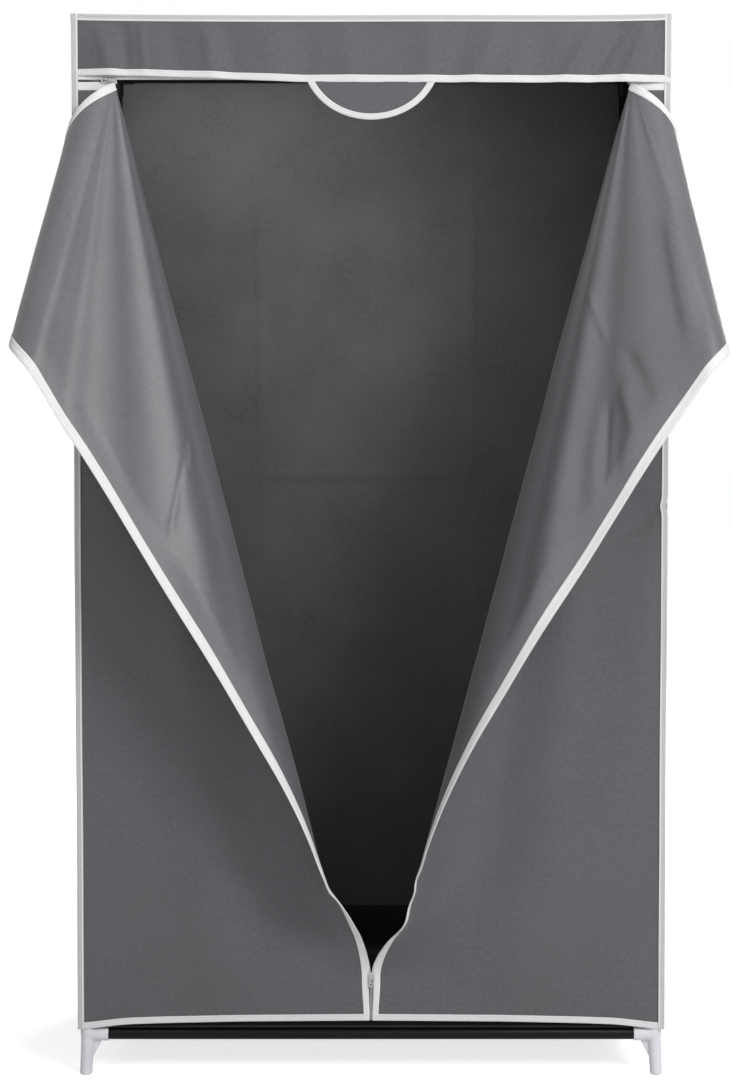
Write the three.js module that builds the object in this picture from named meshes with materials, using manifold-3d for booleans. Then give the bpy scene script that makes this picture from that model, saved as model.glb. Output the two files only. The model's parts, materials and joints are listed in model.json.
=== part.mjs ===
// Portable fabric wardrobe: a steel tube frame in white plastic corner joints, under a
// non-woven cover whose front opens with a T-shaped zip and folds back as two flaps.
// Millimetres, +Z up, the front looks along -Y, the feet stand on Z = 0.
import * as THREE from 'three';
import { mergeVertices } from 'three/addons/utils/BufferGeometryUtils.js';
import Module from 'manifold-3d';

const wasm = await Module();
wasm.setup();

// Driving dimensions of the cabinet
const cabinetWidth = 891;
const cabinetDepth = 450;
const cabinetHeight = 1600;
const fabric = 1.5;
const fit = 0.3;

// Tube frame
const tubeDiameter = 19;
const tubeWall = 1;
const socketWall = 1.5;
const socketReach = 32;
const socketSeat = 12;
const legHeight = 53;
const footDiameter = 18.8;
const footRound = 3;
const legCant = 3;
const finReach = 22;
const finDrop = 27;
const finThickness = 3;
const couplerLength = 60;
const couplerWeb = 3;

const tubeRadius = tubeDiameter / 2;
const boreRadius = tubeRadius + fit;
const socketRadius = boreRadius + socketWall;
const postX = cabinetWidth / 2 - fabric - fit - socketRadius;
const postY = cabinetDepth / 2 - fabric - fit - socketRadius;
const lowAxis = legHeight + tubeRadius;
const highAxis = cabinetHeight - fabric - fit - socketRadius;

// Cover: the level zip below the roof, the header's hem above that zip, and the hems
// above the bottom tubes
const zipDrop = 98;
const zipHalfGap = 2.7;
const topTapeAbove = 2.5;
const panelTopBelow = 2.5;
const hemAboveZip = 5;
const headerStandOff = 8.5;
const headerFoldDepth = 1.6;
const headerFoldCount = 13;
const headerSide = 55;
const hemMiddleRise = 23.5;
const hemCornerFall = 14;
const sideHemRise = 13.5;
const hemStepShares = [0, 0.45, 0.72, 0.86, 0.93, 1];
const hemDropShares = [0, 0.1, 0.28, 0.45, 0.8, 1];
const floorUpturn = 88;
const frontPlane = -(cabinetDepth - fabric) / 2;
const zipHeight = cabinetHeight - zipDrop;
const headerHem = zipHeight + hemAboveZip;
const hemMiddle = lowAxis + hemMiddleRise;
const sideHem = lowAxis + sideHemRise;

// Semicircular tab under the header
const tabChord = 188;
const tabDrop = 63;
const tabSteps = 24;

// Zip sliders and pulls
const zipClosedLength = 74;
const sliderTop = hemMiddle + zipClosedLength;
const sliderLength = 13;
const sliderWidth = 9;
const sliderPlate = 1.6;
const sliderEndShare = 0.72;
const neckWidth = 2.2;
const neckLength = 4.5;
const bridgeWidth = 2.4;
const bridgeLength = 8.8;
const bridgeBar = 1.4;
const bridgeRise = 1.8;
const chainWidth = 4.8;
const chainThickness = 2;
const chainShort = 1;
const pullWidth = 7;
const pullLength = 17;
const pullThickness = 1.2;
const pullSlotWidth = 4;
const pullSlotLength = 6.4;
const pullHoleRadius = 1.8;
const pullHoleEnd = 4;
const pullCorner = 2;
const sliderPark = 1.5;

// Front flaps. The zip end is the apex of a cone that the cloth rolls over: panelAngle is
// the last flat ray, coneAngle the cone's half angle and wrapAngle how far it rolls.
// The flap's free corner then turns back round a second, straight roll.
// apexInset is the zip end's distance from the cabinet's side, cornerFall how far down the
// centre zip the corner's fold runs, and easeHeight the rise from flat hem to full roll.
const apexCut = 35;
const flatBelow = sliderTop;
const flapSizes = {
  left: {
    side: -1, apexInset: 61.5, apexRise: 1.5, panelAngle: 10.45, coneAngle: 4.5, wrapAngle: 144,
    cornerTop: 6, cornerFall: 321.5, cornerRadius: 31.6, cornerAngle: 118, easeHeight: 190,
  },
  right: {
    side: 1, apexInset: 58, apexRise: 0, panelAngle: 9.7, coneAngle: 5.5, wrapAngle: 143.6,
    cornerTop: 6, cornerFall: 330, cornerRadius: 32, cornerAngle: 126, easeHeight: 125,
  },
};
const rollStepsBefore = 9;
const rollStepsAfter = 4;
const rollRows = 8;
const easeRows = 16;
const cornerRollSteps = 8;

// Materials
const steelBlack = new THREE.MeshStandardMaterial({ color: 0x161615, roughness: 0.35, metalness: 0.4 });
const whitePlastic = new THREE.MeshStandardMaterial({ color: 0xc6c3cb, roughness: 0.45, metalness: 0 });
const blackPlastic = new THREE.MeshStandardMaterial({ color: 0x1c1c1c, roughness: 0.45, metalness: 0 });
const greyCloth = new THREE.MeshStandardMaterial({ color: 0x65626a, roughness: 0.95, metalness: 0 });
const blackCloth = new THREE.MeshStandardMaterial({ color: 0x1a1a1b, roughness: 0.95, metalness: 0 });
const whiteTape = new THREE.MeshStandardMaterial({ color: 0xd8d6d8, roughness: 0.9, metalness: 0 });
const zinc = new THREE.MeshStandardMaterial({ color: 0x9a9a9c, roughness: 0.35, metalness: 0.9 });

const roundSides = 16;
const overrun = 2;
const weldTolerance = 1e-4;
const radians = THREE.MathUtils.degToRad;
const group = new THREE.Group();

function add(name, geometry, material) {
  const mesh = new THREE.Mesh(geometry, material);
  mesh.name = name;
  group.add(mesh);
  return mesh;
}

// Booleans
function solid(geometry) {
  const bare = geometry.clone();
  bare.deleteAttribute('normal');
  bare.deleteAttribute('uv');
  const welded = mergeVertices(bare, weldTolerance);
  return new wasm.Manifold(new wasm.Mesh({
    numProp: 3,
    vertProperties: new Float32Array(welded.attributes.position.array),
    triVerts: new Uint32Array(welded.index.array),
  }));
}

function shaped(manifold) {
  const mesh = manifold.getMesh();
  const geometry = new THREE.BufferGeometry();
  geometry.setAttribute('position', new THREE.BufferAttribute(new Float32Array(mesh.vertProperties), 3));
  geometry.setIndex(new THREE.BufferAttribute(new Uint32Array(mesh.triVerts), 1));
  geometry.computeVertexNormals();
  return geometry;
}

function union(geometries) {
  return geometries.map(solid).reduce((a, b) => a.add(b));
}

function cut(manifold, geometries) {
  return geometries.map(solid).reduce((a, b) => a.subtract(b), manifold);
}

// A round bar from one point to another
function bar(radius, from, to) {
  const length = from.distanceTo(to);
  const geometry = new THREE.CylinderGeometry(radius, radius, length, roundSides);
  const along = to.clone().sub(from).normalize();
  geometry.applyQuaternion(new THREE.Quaternion().setFromUnitVectors(new THREE.Vector3(0, 1, 0), along));
  return geometry.translate(...from.clone().add(to).divideScalar(2));
}

function box(x, y, z) {
  const geometry = new THREE.BoxGeometry(x[1] - x[0], y[1] - y[0], z[1] - z[0]);
  return geometry.translate((x[0] + x[1]) / 2, (y[0] + y[1]) / 2, (z[0] + z[1]) / 2);
}

function point(x, y, z) {
  return new THREE.Vector3(x, y, z);
}

// A steel tube with open ends
function tube(name, from, to) {
  const length = from.distanceTo(to);
  const inner = tubeRadius - tubeWall;
  const profile = [[inner, 0], [tubeRadius, 0], [tubeRadius, length], [inner, length], [inner, 0]];
  const geometry = new THREE.LatheGeometry(profile.map((p) => new THREE.Vector2(...p)), roundSides);
  const along = to.clone().sub(from).normalize();
  geometry.applyQuaternion(new THREE.Quaternion().setFromUnitVectors(new THREE.Vector3(0, 1, 0), along));
  geometry.translate(...from);
  return add(name, shaped(solid(geometry)), steelBlack);
}

// A triangular fin between an arm and the leg
function fin(direction) {
  const low = -socketRadius - finDrop;
  const outline = new THREE.Shape([
    new THREE.Vector2(0, 0),
    new THREE.Vector2(finReach, 0),
    new THREE.Vector2(finReach, -tubeRadius),
    new THREE.Vector2(footDiameter / 2 - legCant, low),
    new THREE.Vector2(0, low),
  ]);
  const geometry = new THREE.ExtrudeGeometry(outline, { depth: finThickness, bevelEnabled: false });
  geometry.translate(0, 0, -finThickness / 2);
  geometry.rotateX(Math.PI / 2);
  return geometry.rotateZ(Math.atan2(direction.y, direction.x));
}

// The canted leg of a foot, from the floor to the joint's centre
function leg(outX, outY) {
  const foot = footDiameter / 2;
  const profile = [
    [0, 0], [foot - footRound, 0], [foot - footRound / 3, footRound / 3], [foot, footRound],
    [tubeRadius, lowAxis], [0, lowAxis],
  ];
  const geometry = new THREE.LatheGeometry(profile.map((p) => new THREE.Vector2(...p)), roundSides);
  geometry.rotateX(Math.PI / 2);
  const cant = legCant / lowAxis;
  const shear = new THREE.Matrix4().set(
    1, 0, -outX * cant, 0,
    0, 1, -outY * cant, 0,
    0, 0, 1, 0,
    0, 0, 0, 1,
  );
  geometry.translate(0, 0, -lowAxis);
  return geometry.applyMatrix4(shear);
}

// A moulded corner: an arm along x, one along y and one along z, with blind bores
function corner(name, at, inX, inY, upZ) {
  const centre = point(0, 0, 0);
  const arms = [point(inX, 0, 0), point(0, inY, 0), point(0, 0, upZ)];
  const parts = arms.map((a) => bar(socketRadius, centre, a.clone().multiplyScalar(socketReach)));
  parts.push(new THREE.SphereGeometry(socketRadius, roundSides, roundSides / 2));
  if (upZ > 0) {
    parts.push(leg(-inX, -inY));
    parts.push(fin(point(inX, 0, 0)));
    parts.push(fin(point(0, inY, 0)));
  }
  const bores = arms.map((a) => bar(
    boreRadius,
    a.clone().multiplyScalar(socketSeat),
    a.clone().multiplyScalar(socketReach + overrun),
  ));
  const geometry = shaped(cut(union(parts), bores));
  add(name, geometry.translate(...at), upZ > 0 ? whitePlastic : blackPlastic);
}

function coupler(name, at) {
  const half = couplerLength / 2;
  const web = couplerWeb / 2;
  const profile = [
    [0, -web], [boreRadius, -web], [boreRadius, -half], [socketRadius, -half],
    [socketRadius, half], [boreRadius, half], [boreRadius, web], [0, web],
  ];
  const geometry = new THREE.LatheGeometry(profile.map((p) => new THREE.Vector2(...p)), roundSides);
  geometry.rotateX(Math.PI / 2);
  add(name, shaped(solid(geometry)).translate(...at), whitePlastic);
}

// A tee in the side tubes that takes the hanging rail
function railTee(name, side) {
  const centre = point(0, 0, 0);
  const web = couplerWeb / 2;
  const parts = [
    bar(socketRadius, point(0, -socketReach, 0), point(0, socketReach, 0)),
    bar(socketRadius, centre, point(-side * socketReach, 0, 0)),
  ];
  const bores = [
    bar(boreRadius, point(0, web, 0), point(0, socketReach + overrun, 0)),
    bar(boreRadius, point(0, -web, 0), point(0, -socketReach - overrun, 0)),
    bar(boreRadius, point(-side * socketSeat, 0, 0), point(-side * (socketReach + overrun), 0, 0)),
  ];
  const geometry = shaped(cut(union(parts), bores));
  add(name, geometry.translate(side * postX, 0, highAxis), blackPlastic);
}

const sides = { left: -1, right: 1 };
const ends = { front: -1, rear: 1 };
const tubeEnd = socketSeat + fit;
const middle = (lowAxis + highAxis) / 2;
const webEnd = couplerWeb / 2 + fit;

function frame() {
  for (const [sideName, side] of Object.entries(sides)) {
    for (const [endName, end] of Object.entries(ends)) {
      const x = side * postX;
      const y = end * postY;
      corner(`foot_joint_${endName}_${sideName}`, point(x, y, lowAxis), -side, -end, 1);
      corner(`top_joint_${endName}_${sideName}`, point(x, y, highAxis), -side, -end, -1);
      const lower = [point(x, y, lowAxis + tubeEnd), point(x, y, middle - webEnd)];
      const upper = [point(x, y, middle + webEnd), point(x, y, highAxis - tubeEnd)];
      tube(`post_lower_${endName}_${sideName}`, ...lower);
      tube(`post_upper_${endName}_${sideName}`, ...upper);
      coupler(`post_coupler_${endName}_${sideName}`, point(x, y, middle));
      const nearTee = point(x, end * webEnd, highAxis);
      tube(`top_tube_side_${endName}_${sideName}`, nearTee, point(x, end * (postY - tubeEnd), highAxis));
    }
    const x = side * postX;
    const run = postY - tubeEnd;
    tube(`bottom_tube_${sideName}`, point(x, -run, lowAxis), point(x, run, lowAxis));
    railTee(`rail_tee_${sideName}`, side);
  }
  const run = postX - tubeEnd;
  for (const [endName, end] of Object.entries(ends)) {
    const y = end * postY;
    tube(`bottom_tube_${endName}`, point(-run, y, lowAxis), point(run, y, lowAxis));
    tube(`top_tube_${endName}`, point(-run, y, highAxis), point(run, y, highAxis));
  }
  tube('hanging_rail', point(-run, 0, highAxis), point(run, 0, highAxis));
}

// Cloth. Grids of middle points, which may share points, become one closed sheet.
function gridFaces(grid) {
  const faces = [];
  for (let i = 0; i < grid.length - 1; i += 1) {
    for (let j = 0; j < grid[i].length - 1; j += 1) {
      faces.push([grid[i][j], grid[i + 1][j], grid[i + 1][j + 1]]);
      faces.push([grid[i][j], grid[i + 1][j + 1], grid[i][j + 1]]);
    }
  }
  return faces;
}

function sheet(grids, thickness) {
  const faces = grids.flatMap(gridFaces);
  const points = [...new Set(faces.flat())];
  const number = new Map(points.map((p, i) => [p, i]));
  const normals = points.map(() => point(0, 0, 0));
  for (const [p, q, r] of faces) {
    const normal = q.clone().sub(p).cross(r.clone().sub(p));
    for (const vertex of [p, q, r]) normals[number.get(vertex)].add(normal);
  }
  const positions = [];
  for (const face of [1, -1]) {
    points.forEach((p, i) => {
      const away = normals[i].clone().setLength(face * thickness / 2);
      positions.push(...p.clone().add(away));
    });
  }
  const index = [];
  const edges = new Map();
  for (const triangle of faces) {
    const [a, b, c] = triangle.map((p) => number.get(p));
    index.push(a, b, c);
    index.push(c + points.length, b + points.length, a + points.length);
    for (const [from, to] of [[a, b], [b, c], [c, a]]) edges.set(`${from},${to}`, [from, to]);
  }
  for (const [from, to] of edges.values()) {
    if (edges.has(`${to},${from}`)) continue;
    index.push(to, from, from + points.length);
    index.push(to, from + points.length, to + points.length);
  }
  const geometry = new THREE.BufferGeometry();
  geometry.setAttribute('position', new THREE.Float32BufferAttribute(positions, 3));
  geometry.setIndex(index);
  return shaped(solid(geometry));
}

// A flat outline in the front plane, or in any plane given by its matrix
function flatPiece(points, thickness) {
  const options = { depth: thickness, bevelEnabled: false };
  const geometry = new THREE.ExtrudeGeometry(new THREE.Shape(points), options);
  return geometry.translate(0, 0, -thickness / 2);
}

function inFrontPlane(points, y, thickness) {
  return flatPiece(points, thickness).rotateX(Math.PI / 2).translate(0, y, 0);
}

// Mirrors a shape made for the left side over to the right
function toSide(geometry, side) {
  if (side < 0) return geometry;
  const flipped = geometry.index ? geometry.toNonIndexed() : geometry.clone();
  flipped.scale(-1, 1, 1);
  const order = flipped.attributes.position.array;
  for (let i = 0; i < order.length; i += 9) {
    for (let k = 0; k < 3; k += 1) {
      [order[i + 3 + k], order[i + 6 + k]] = [order[i + 6 + k], order[i + 3 + k]];
    }
  }
  return shaped(solid(flipped));
}

// The front hem hangs a little lower at the corners
function hemLine(x) {
  const share = Math.abs(x) / (cabinetWidth / 2);
  const next = Math.max(1, hemStepShares.findIndex((s) => s >= share));
  const step = (share - hemStepShares[next - 1]) / (hemStepShares[next] - hemStepShares[next - 1]);
  const drop = THREE.MathUtils.lerp(hemDropShares[next - 1], hemDropShares[next], step);
  return hemMiddle - drop * hemCornerFall;
}

function placed(sizes) {
  const apexZ = zipHeight + sizes.apexRise;
  return {
    ...sizes,
    apexX: cabinetWidth / 2 - sizes.apexInset,
    apexZ,
    cornerZip: apexZ - sizes.cornerFall,
    rolledAbove: flatBelow + sizes.easeHeight,
  };
}

const flaps = { left: placed(flapSizes.left), right: placed(flapSizes.right) };

// The folding of a flap, worked out for the left side. Flat points are (x, z).
function folding(flap) {
  const apex = point(-flap.apexX, frontPlane, flap.apexZ);
  const start = radians(flap.panelAngle);
  const half = radians(flap.coneAngle);
  const wrap = radians(flap.wrapAngle);
  const end = start + wrap * Math.sin(half);
  const back = point(Math.sin(start), 0, -Math.cos(start));
  const right = point(Math.cos(start), 0, Math.sin(start));
  const out = point(0, -1, 0);
  const axis = back.clone().multiplyScalar(Math.cos(half)).addScaledVector(out, Math.sin(half));
  const lift = out.clone().multiplyScalar(Math.cos(half)).addScaledVector(back, -Math.sin(half));
  const ray = (turn) => axis.clone().multiplyScalar(Math.cos(half))
    .addScaledVector(lift, -Math.sin(half) * Math.cos(turn))
    .addScaledVector(right, Math.sin(half) * Math.sin(turn));
  const down = ray(wrap);
  const over = lift.clone().multiplyScalar(Math.sin(wrap)).addScaledVector(right, Math.cos(wrap));
  const normal = over.clone().cross(down);
  const polar = (p) => ({
    distance: Math.hypot(p.x + flap.apexX, flap.apexZ - p.y),
    angle: Math.atan2(p.x + flap.apexX, flap.apexZ - p.y),
  });
  // Flap plane coordinates: u down the last ray, w away from it
  const inPlane = (p) => {
    const { distance, angle } = polar(p);
    return new THREE.Vector2(distance * Math.cos(angle - end), distance * Math.sin(angle - end));
  };
  const fromPlane = (q, depth = 0) => apex.clone().addScaledVector(down, q.x)
    .addScaledVector(over, q.y).addScaledVector(normal, -depth);
  const rolled = (p) => {
    const { distance, angle } = polar(p);
    const turn = THREE.MathUtils.clamp((angle - start) / Math.sin(half), 0, wrap);
    const onCone = apex.clone().addScaledVector(ray(turn), distance);
    const flat = point(p.x, frontPlane, p.y);
    const share = THREE.MathUtils.smoothstep(p.y, flatBelow, flap.rolledAbove);
    return flat.lerp(onCone, share);
  };
  const zipTop = zipHeight - panelTopBelow;
  const foldStart = inPlane(new THREE.Vector2(-flap.apexX + flap.cornerTop, flap.apexZ));
  const foldEnd = inPlane(new THREE.Vector2(0, flap.cornerZip));
  const foldLine = foldEnd.clone().sub(foldStart).normalize();
  const beyond = new THREE.Vector2(-foldLine.y, foldLine.x);
  const tip = inPlane(new THREE.Vector2(0, flap.apexZ));
  if (tip.clone().sub(foldStart).dot(beyond) < 0) beyond.negate();
  return {
    flap, apex, start, end, down, over, normal, inPlane, fromPlane, rolled,
    zipTop, foldStart, foldLine, beyond,
  };
}

function rayPoint(flap, angle, distance) {
  const fall = distance * Math.cos(angle);
  return new THREE.Vector2(-flap.apexX + distance * Math.sin(angle), flap.apexZ - fall);
}

// Where a ray from the zip end leaves the cloth: on the hem or on the centre zip
function rayEnd(flap, angle) {
  const toZip = (flap.apexX - zipHalfGap) / Math.sin(angle);
  let distance = toZip;
  if (flap.apexZ - toZip * Math.cos(angle) < hemMiddle) {
    distance = (flap.apexZ - hemMiddle) / Math.cos(angle);
  }
  return distance;
}

function fixedPanel(name, fold) {
  const { flap, start, zipTop } = fold;
  const edge = -cabinetWidth / 2;
  const inset = fit / 2 / Math.cos(start);
  const low = rayPoint(flap, start, rayEnd(flap, start));
  const top = rayPoint(flap, start, (flap.apexZ - zipTop) / Math.cos(start));
  const outline = [new THREE.Vector2(top.x - inset, zipTop), new THREE.Vector2(edge, zipTop)];
  for (let i = hemStepShares.length - 1; i > 0; i -= 1) {
    const x = edge * hemStepShares[i];
    if (x < low.x - inset) outline.push(new THREE.Vector2(x, hemLine(x)));
  }
  outline.push(new THREE.Vector2(low.x - inset, hemLine(low.x)));
  add(name, toSide(inFrontPlane(outline, frontPlane, fabric), flap.side), greyCloth);
}

// The strip between the fixed panel and the flap: rolled above, easing into the flat hem
function roll(name, fold) {
  const { flap, start, end, rolled } = fold;
  const across = flap.apexX - zipHalfGap;
  const knee = Math.atan2(across, flap.apexZ - flap.rolledAbove);
  const place = (x, z, aside, angle) => rolled(new THREE.Vector2(
    x + aside * Math.cos(angle),
    z + aside * Math.sin(angle),
  ));
  const upper = [];
  const kneeRow = [];
  const steps = rollStepsBefore + rollStepsAfter;
  for (let i = 0; i <= steps; i += 1) {
    const angle = i < rollStepsBefore
      ? THREE.MathUtils.lerp(start, knee, i / rollStepsBefore)
      : THREE.MathUtils.lerp(knee, end, (i - rollStepsBefore) / rollStepsAfter);
    const far = Math.min((flap.apexZ - flap.rolledAbove) / Math.cos(angle), across / Math.sin(angle));
    const aside = fit / 2 * (1 - 2 * i / steps);
    const row = [];
    for (let j = 0; j <= rollRows; j += 1) {
      const p = rayPoint(flap, angle, THREE.MathUtils.lerp(apexCut, far, j / rollRows));
      row.push(place(p.x, p.y, aside, angle));
    }
    upper.push(row);
    if (i <= rollStepsBefore) kneeRow.push({ top: row[rollRows], aside, angle, share: i / rollStepsBefore });
  }
  const lower = kneeRow.map(({ top, aside, angle, share }) => {
    const column = [top];
    for (let j = 1; j <= easeRows; j += 1) {
      const z = THREE.MathUtils.lerp(flap.rolledAbove, hemMiddle, j / easeRows);
      const near = rayPoint(flap, start, (flap.apexZ - z) / Math.cos(start)).x;
      column.push(place(THREE.MathUtils.lerp(near, -zipHalfGap, share), z, aside * (1 - share), angle));
    }
    return column;
  });
  add(name, toSide(sheet([upper, lower], fabric), flap.side), greyCloth);
}

// A flat outline in flap plane coordinates, placed by a frame of three directions
function planePiece(outline, origin, alongU, alongW, thickness) {
  const matrix = new THREE.Matrix4().makeBasis(alongU, alongW, alongU.clone().cross(alongW));
  const ordered = THREE.ShapeUtils.area(outline) < 0 ? outline.slice().reverse() : outline;
  return flatPiece(ordered, thickness).applyMatrix4(matrix).translate(...origin);
}

// Where the line at an offset beyond the corner fold meets the top edge and the centre zip
function foldEnds(fold, offset) {
  const { flap, inPlane, foldStart, foldLine, beyond, zipTop } = fold;
  const base = foldStart.clone().addScaledVector(beyond, offset);
  const meet = (a, b) => {
    const edge = b.clone().sub(a);
    const cross = foldLine.x * edge.y - foldLine.y * edge.x;
    const gap = a.clone().sub(base);
    return base.clone().addScaledVector(foldLine, (gap.x * edge.y - gap.y * edge.x) / cross);
  };
  const topA = inPlane(new THREE.Vector2(-flap.apexX, zipTop));
  const topB = inPlane(new THREE.Vector2(-zipHalfGap, zipTop));
  const zipB = inPlane(new THREE.Vector2(-zipHalfGap, flatBelow));
  return [meet(topA, topB), meet(topB, zipB)];
}

function flapPanel(name, fold) {
  const { flap, end, inPlane, foldStart, foldLine, beyond, apex, down, over } = fold;
  const aside = new THREE.Vector2(0, fit / 2);
  const near = inPlane(rayPoint(flap, end, apexCut)).add(aside);
  const low = inPlane(rayPoint(flap, end, rayEnd(flap, end))).add(aside);
  const [, zipMeet] = foldEnds(fold, -fit / 2);
  const foldMeet = foldStart.clone().addScaledVector(foldLine, apexCut).addScaledVector(beyond, -fit / 2);
  const geometry = planePiece([near, low, zipMeet, foldMeet], apex, down, over, fabric);
  add(name, toSide(geometry, flap.side), greyCloth);
}

// The rolled strip between the flap and its turned-back corner
function cornerRoll(name, fold) {
  const { flap, foldStart, foldLine, beyond, fromPlane } = fold;
  const radius = flap.cornerRadius;
  const angle = radians(flap.cornerAngle);
  const grid = [];
  for (let i = 0; i <= cornerRollSteps; i += 1) {
    const turn = angle * i / cornerRollSteps;
    const offset = radius * turn + fit / 2 * (1 - 2 * i / cornerRollSteps);
    const used = offset / radius;
    const row = foldEnds(fold, offset).map((q) => {
      const along = q.clone().sub(foldStart).dot(foldLine);
      const base = foldStart.clone().addScaledVector(foldLine, Math.max(along, apexCut));
      base.addScaledVector(beyond, radius * Math.sin(used));
      return fromPlane(base, radius * (1 - Math.cos(used)));
    });
    grid.push(row);
  }
  add(name, toSide(sheet([grid], fabric), flap.side), greyCloth);
}

function turnedCorner(name, fold) {
  const { flap, foldStart, foldLine, beyond, fromPlane, inPlane, down, over, normal, zipTop } = fold;
  const radius = flap.cornerRadius;
  const angle = radians(flap.cornerAngle);
  const width = radius * angle;
  const origin = fromPlane(
    foldStart.clone().addScaledVector(beyond, radius * Math.sin(angle)),
    radius * (1 - Math.cos(angle)),
  );
  const along = down.clone().multiplyScalar(foldLine.x).addScaledVector(over, foldLine.y);
  const flatBeyond = down.clone().multiplyScalar(beyond.x).addScaledVector(over, beyond.y);
  const turned = flatBeyond.multiplyScalar(Math.cos(angle)).addScaledVector(normal, -Math.sin(angle));
  const local = (q) => {
    const from = q.clone().sub(foldStart);
    return new THREE.Vector2(from.dot(foldLine), from.dot(beyond) - width);
  };
  const [topMeet, zipMeet] = foldEnds(fold, width + fit / 2).map(local);
  const tip = local(inPlane(new THREE.Vector2(-zipHalfGap, zipTop)));
  const geometry = planePiece([topMeet, zipMeet, tip], origin, along, turned, fabric);
  add(name, toSide(geometry, flap.side), greyCloth);
}

function frontFlaps() {
  for (const [sideName, flap] of Object.entries(flaps)) {
    const fold = folding(flap);
    fixedPanel(`cover_front_${sideName}`, fold);
    roll(`cover_roll_${sideName}`, fold);
    flapPanel(`flap_${sideName}`, fold);
    cornerRoll(`flap_corner_roll_${sideName}`, fold);
    turnedCorner(`flap_corner_${sideName}`, fold);
  }
}

// Header flap over the zip: fixed at the roof and the corners, hanging forward in soft folds
function header() {
  const halfWidth = cabinetWidth / 2;
  const top = cabinetHeight - fabric - fit;
  const columns = headerFoldCount * 4;
  const rows = 4;
  const clear = fabric + fit;
  const grid = [];
  for (let i = 0; i <= columns; i += 1) {
    const x = THREE.MathUtils.lerp(-halfWidth, halfWidth, i / columns);
    const inward = THREE.MathUtils.smoothstep(halfWidth - Math.abs(x), 0, headerSide);
    const wave = Math.sin(i / columns * headerFoldCount * 2 * Math.PI);
    const row = [];
    for (let j = 0; j <= rows; j += 1) {
      const drop = j / rows;
      const fold = headerFoldDepth / 2 * wave * Math.sin(Math.PI * drop);
      const y = frontPlane - clear - inward * (headerStandOff * drop + fold);
      row.push(point(x, y, THREE.MathUtils.lerp(top, headerHem, drop)));
    }
    grid.push(row);
  }
  add('header_flap', sheet([grid], fabric), greyCloth);
}

// The tab hangs from the header's hem, in the same plane
function tab() {
  const radius = (tabDrop ** 2 + (tabChord / 2) ** 2) / (2 * tabDrop);
  const centre = radius - tabDrop;
  const sweep = Math.asin(tabChord / 2 / radius);
  const outline = [];
  for (let i = 0; i <= tabSteps; i += 1) {
    const angle = THREE.MathUtils.lerp(-sweep, sweep, i / tabSteps);
    const z = headerHem - fit + centre - radius * Math.cos(angle);
    outline.push(new THREE.Vector2(radius * Math.sin(angle), z));
  }
  const hemPlane = frontPlane - (fabric + fit) - headerStandOff;
  add('header_tab', inFrontPlane(outline, hemPlane, fabric), greyCloth);
}

// The flat walls, roof and floor of the cover
function walls() {
  const halfWidth = cabinetWidth / 2;
  const halfDepth = cabinetDepth / 2;
  const under = cabinetHeight - fabric - fit;
  const behind = halfDepth - fabric - fit;
  const full = [-halfWidth, halfWidth];
  const roofDepth = [-halfDepth - fit - fabric, halfDepth];
  add('cover_roof', box(full, roofDepth, [cabinetHeight - fabric, cabinetHeight]), greyCloth);
  add('cover_back', box(full, [halfDepth - fabric, halfDepth], [sideHem, under]), greyCloth);
  for (const [sideName, side] of Object.entries(sides)) {
    const wall = [side * halfWidth, side * (halfWidth - fabric)].sort((a, b) => a - b);
    add(`cover_side_${sideName}`, box(wall, [-behind, behind], [sideHem, under]), greyCloth);
  }
  const face = [frontPlane - fabric / 2, frontPlane + fabric / 2];
  add('header_band', box(full, face, [zipHeight + topTapeAbove, under]), whiteTape);
  const low = lowAxis + socketRadius + fit;
  const inner = postX - socketRadius - fit - fabric;
  const rear = halfDepth - fabric - fit;
  const tray = union([
    box([-inner, inner], [-rear, rear], [low, low + fabric]),
    box([-inner, inner], [rear - fabric, rear], [low, low + floorUpturn]),
  ]);
  add('floor_panel', shaped(tray), blackCloth);
}

// A slider with its two plates, neck and bridge, upright round its own top centre
function sliderBody() {
  const gap = chainThickness / 2 + 2 * fit;
  const front = [-gap - sliderPlate, -gap];
  const rear = [gap, gap + sliderPlate];
  const half = sliderWidth / 2;
  const outline = [
    new THREE.Vector2(-half, 0), new THREE.Vector2(-half * sliderEndShare, -sliderLength),
    new THREE.Vector2(half * sliderEndShare, -sliderLength), new THREE.Vector2(half, 0),
  ];
  const plate = (y) => inFrontPlane(outline, (y[0] + y[1]) / 2, sliderPlate);
  const neck = box([-neckWidth / 2, neckWidth / 2], [front[0], rear[1]], [-neckLength, 0]);
  const across = [-bridgeWidth / 2, bridgeWidth / 2];
  const high = -(sliderLength - bridgeLength) / 2;
  const low = high - bridgeLength;
  const rise = [front[0] - bridgeRise - bridgeBar, front[1]];
  const bridge = [
    box(across, rise, [high - bridgeBar, high]),
    box(across, rise, [low, low + bridgeBar]),
    box(across, [rise[0], rise[0] + bridgeBar], [low, high]),
  ];
  return shaped(union([plate(front), plate(rear), neck, ...bridge]));
}

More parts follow.
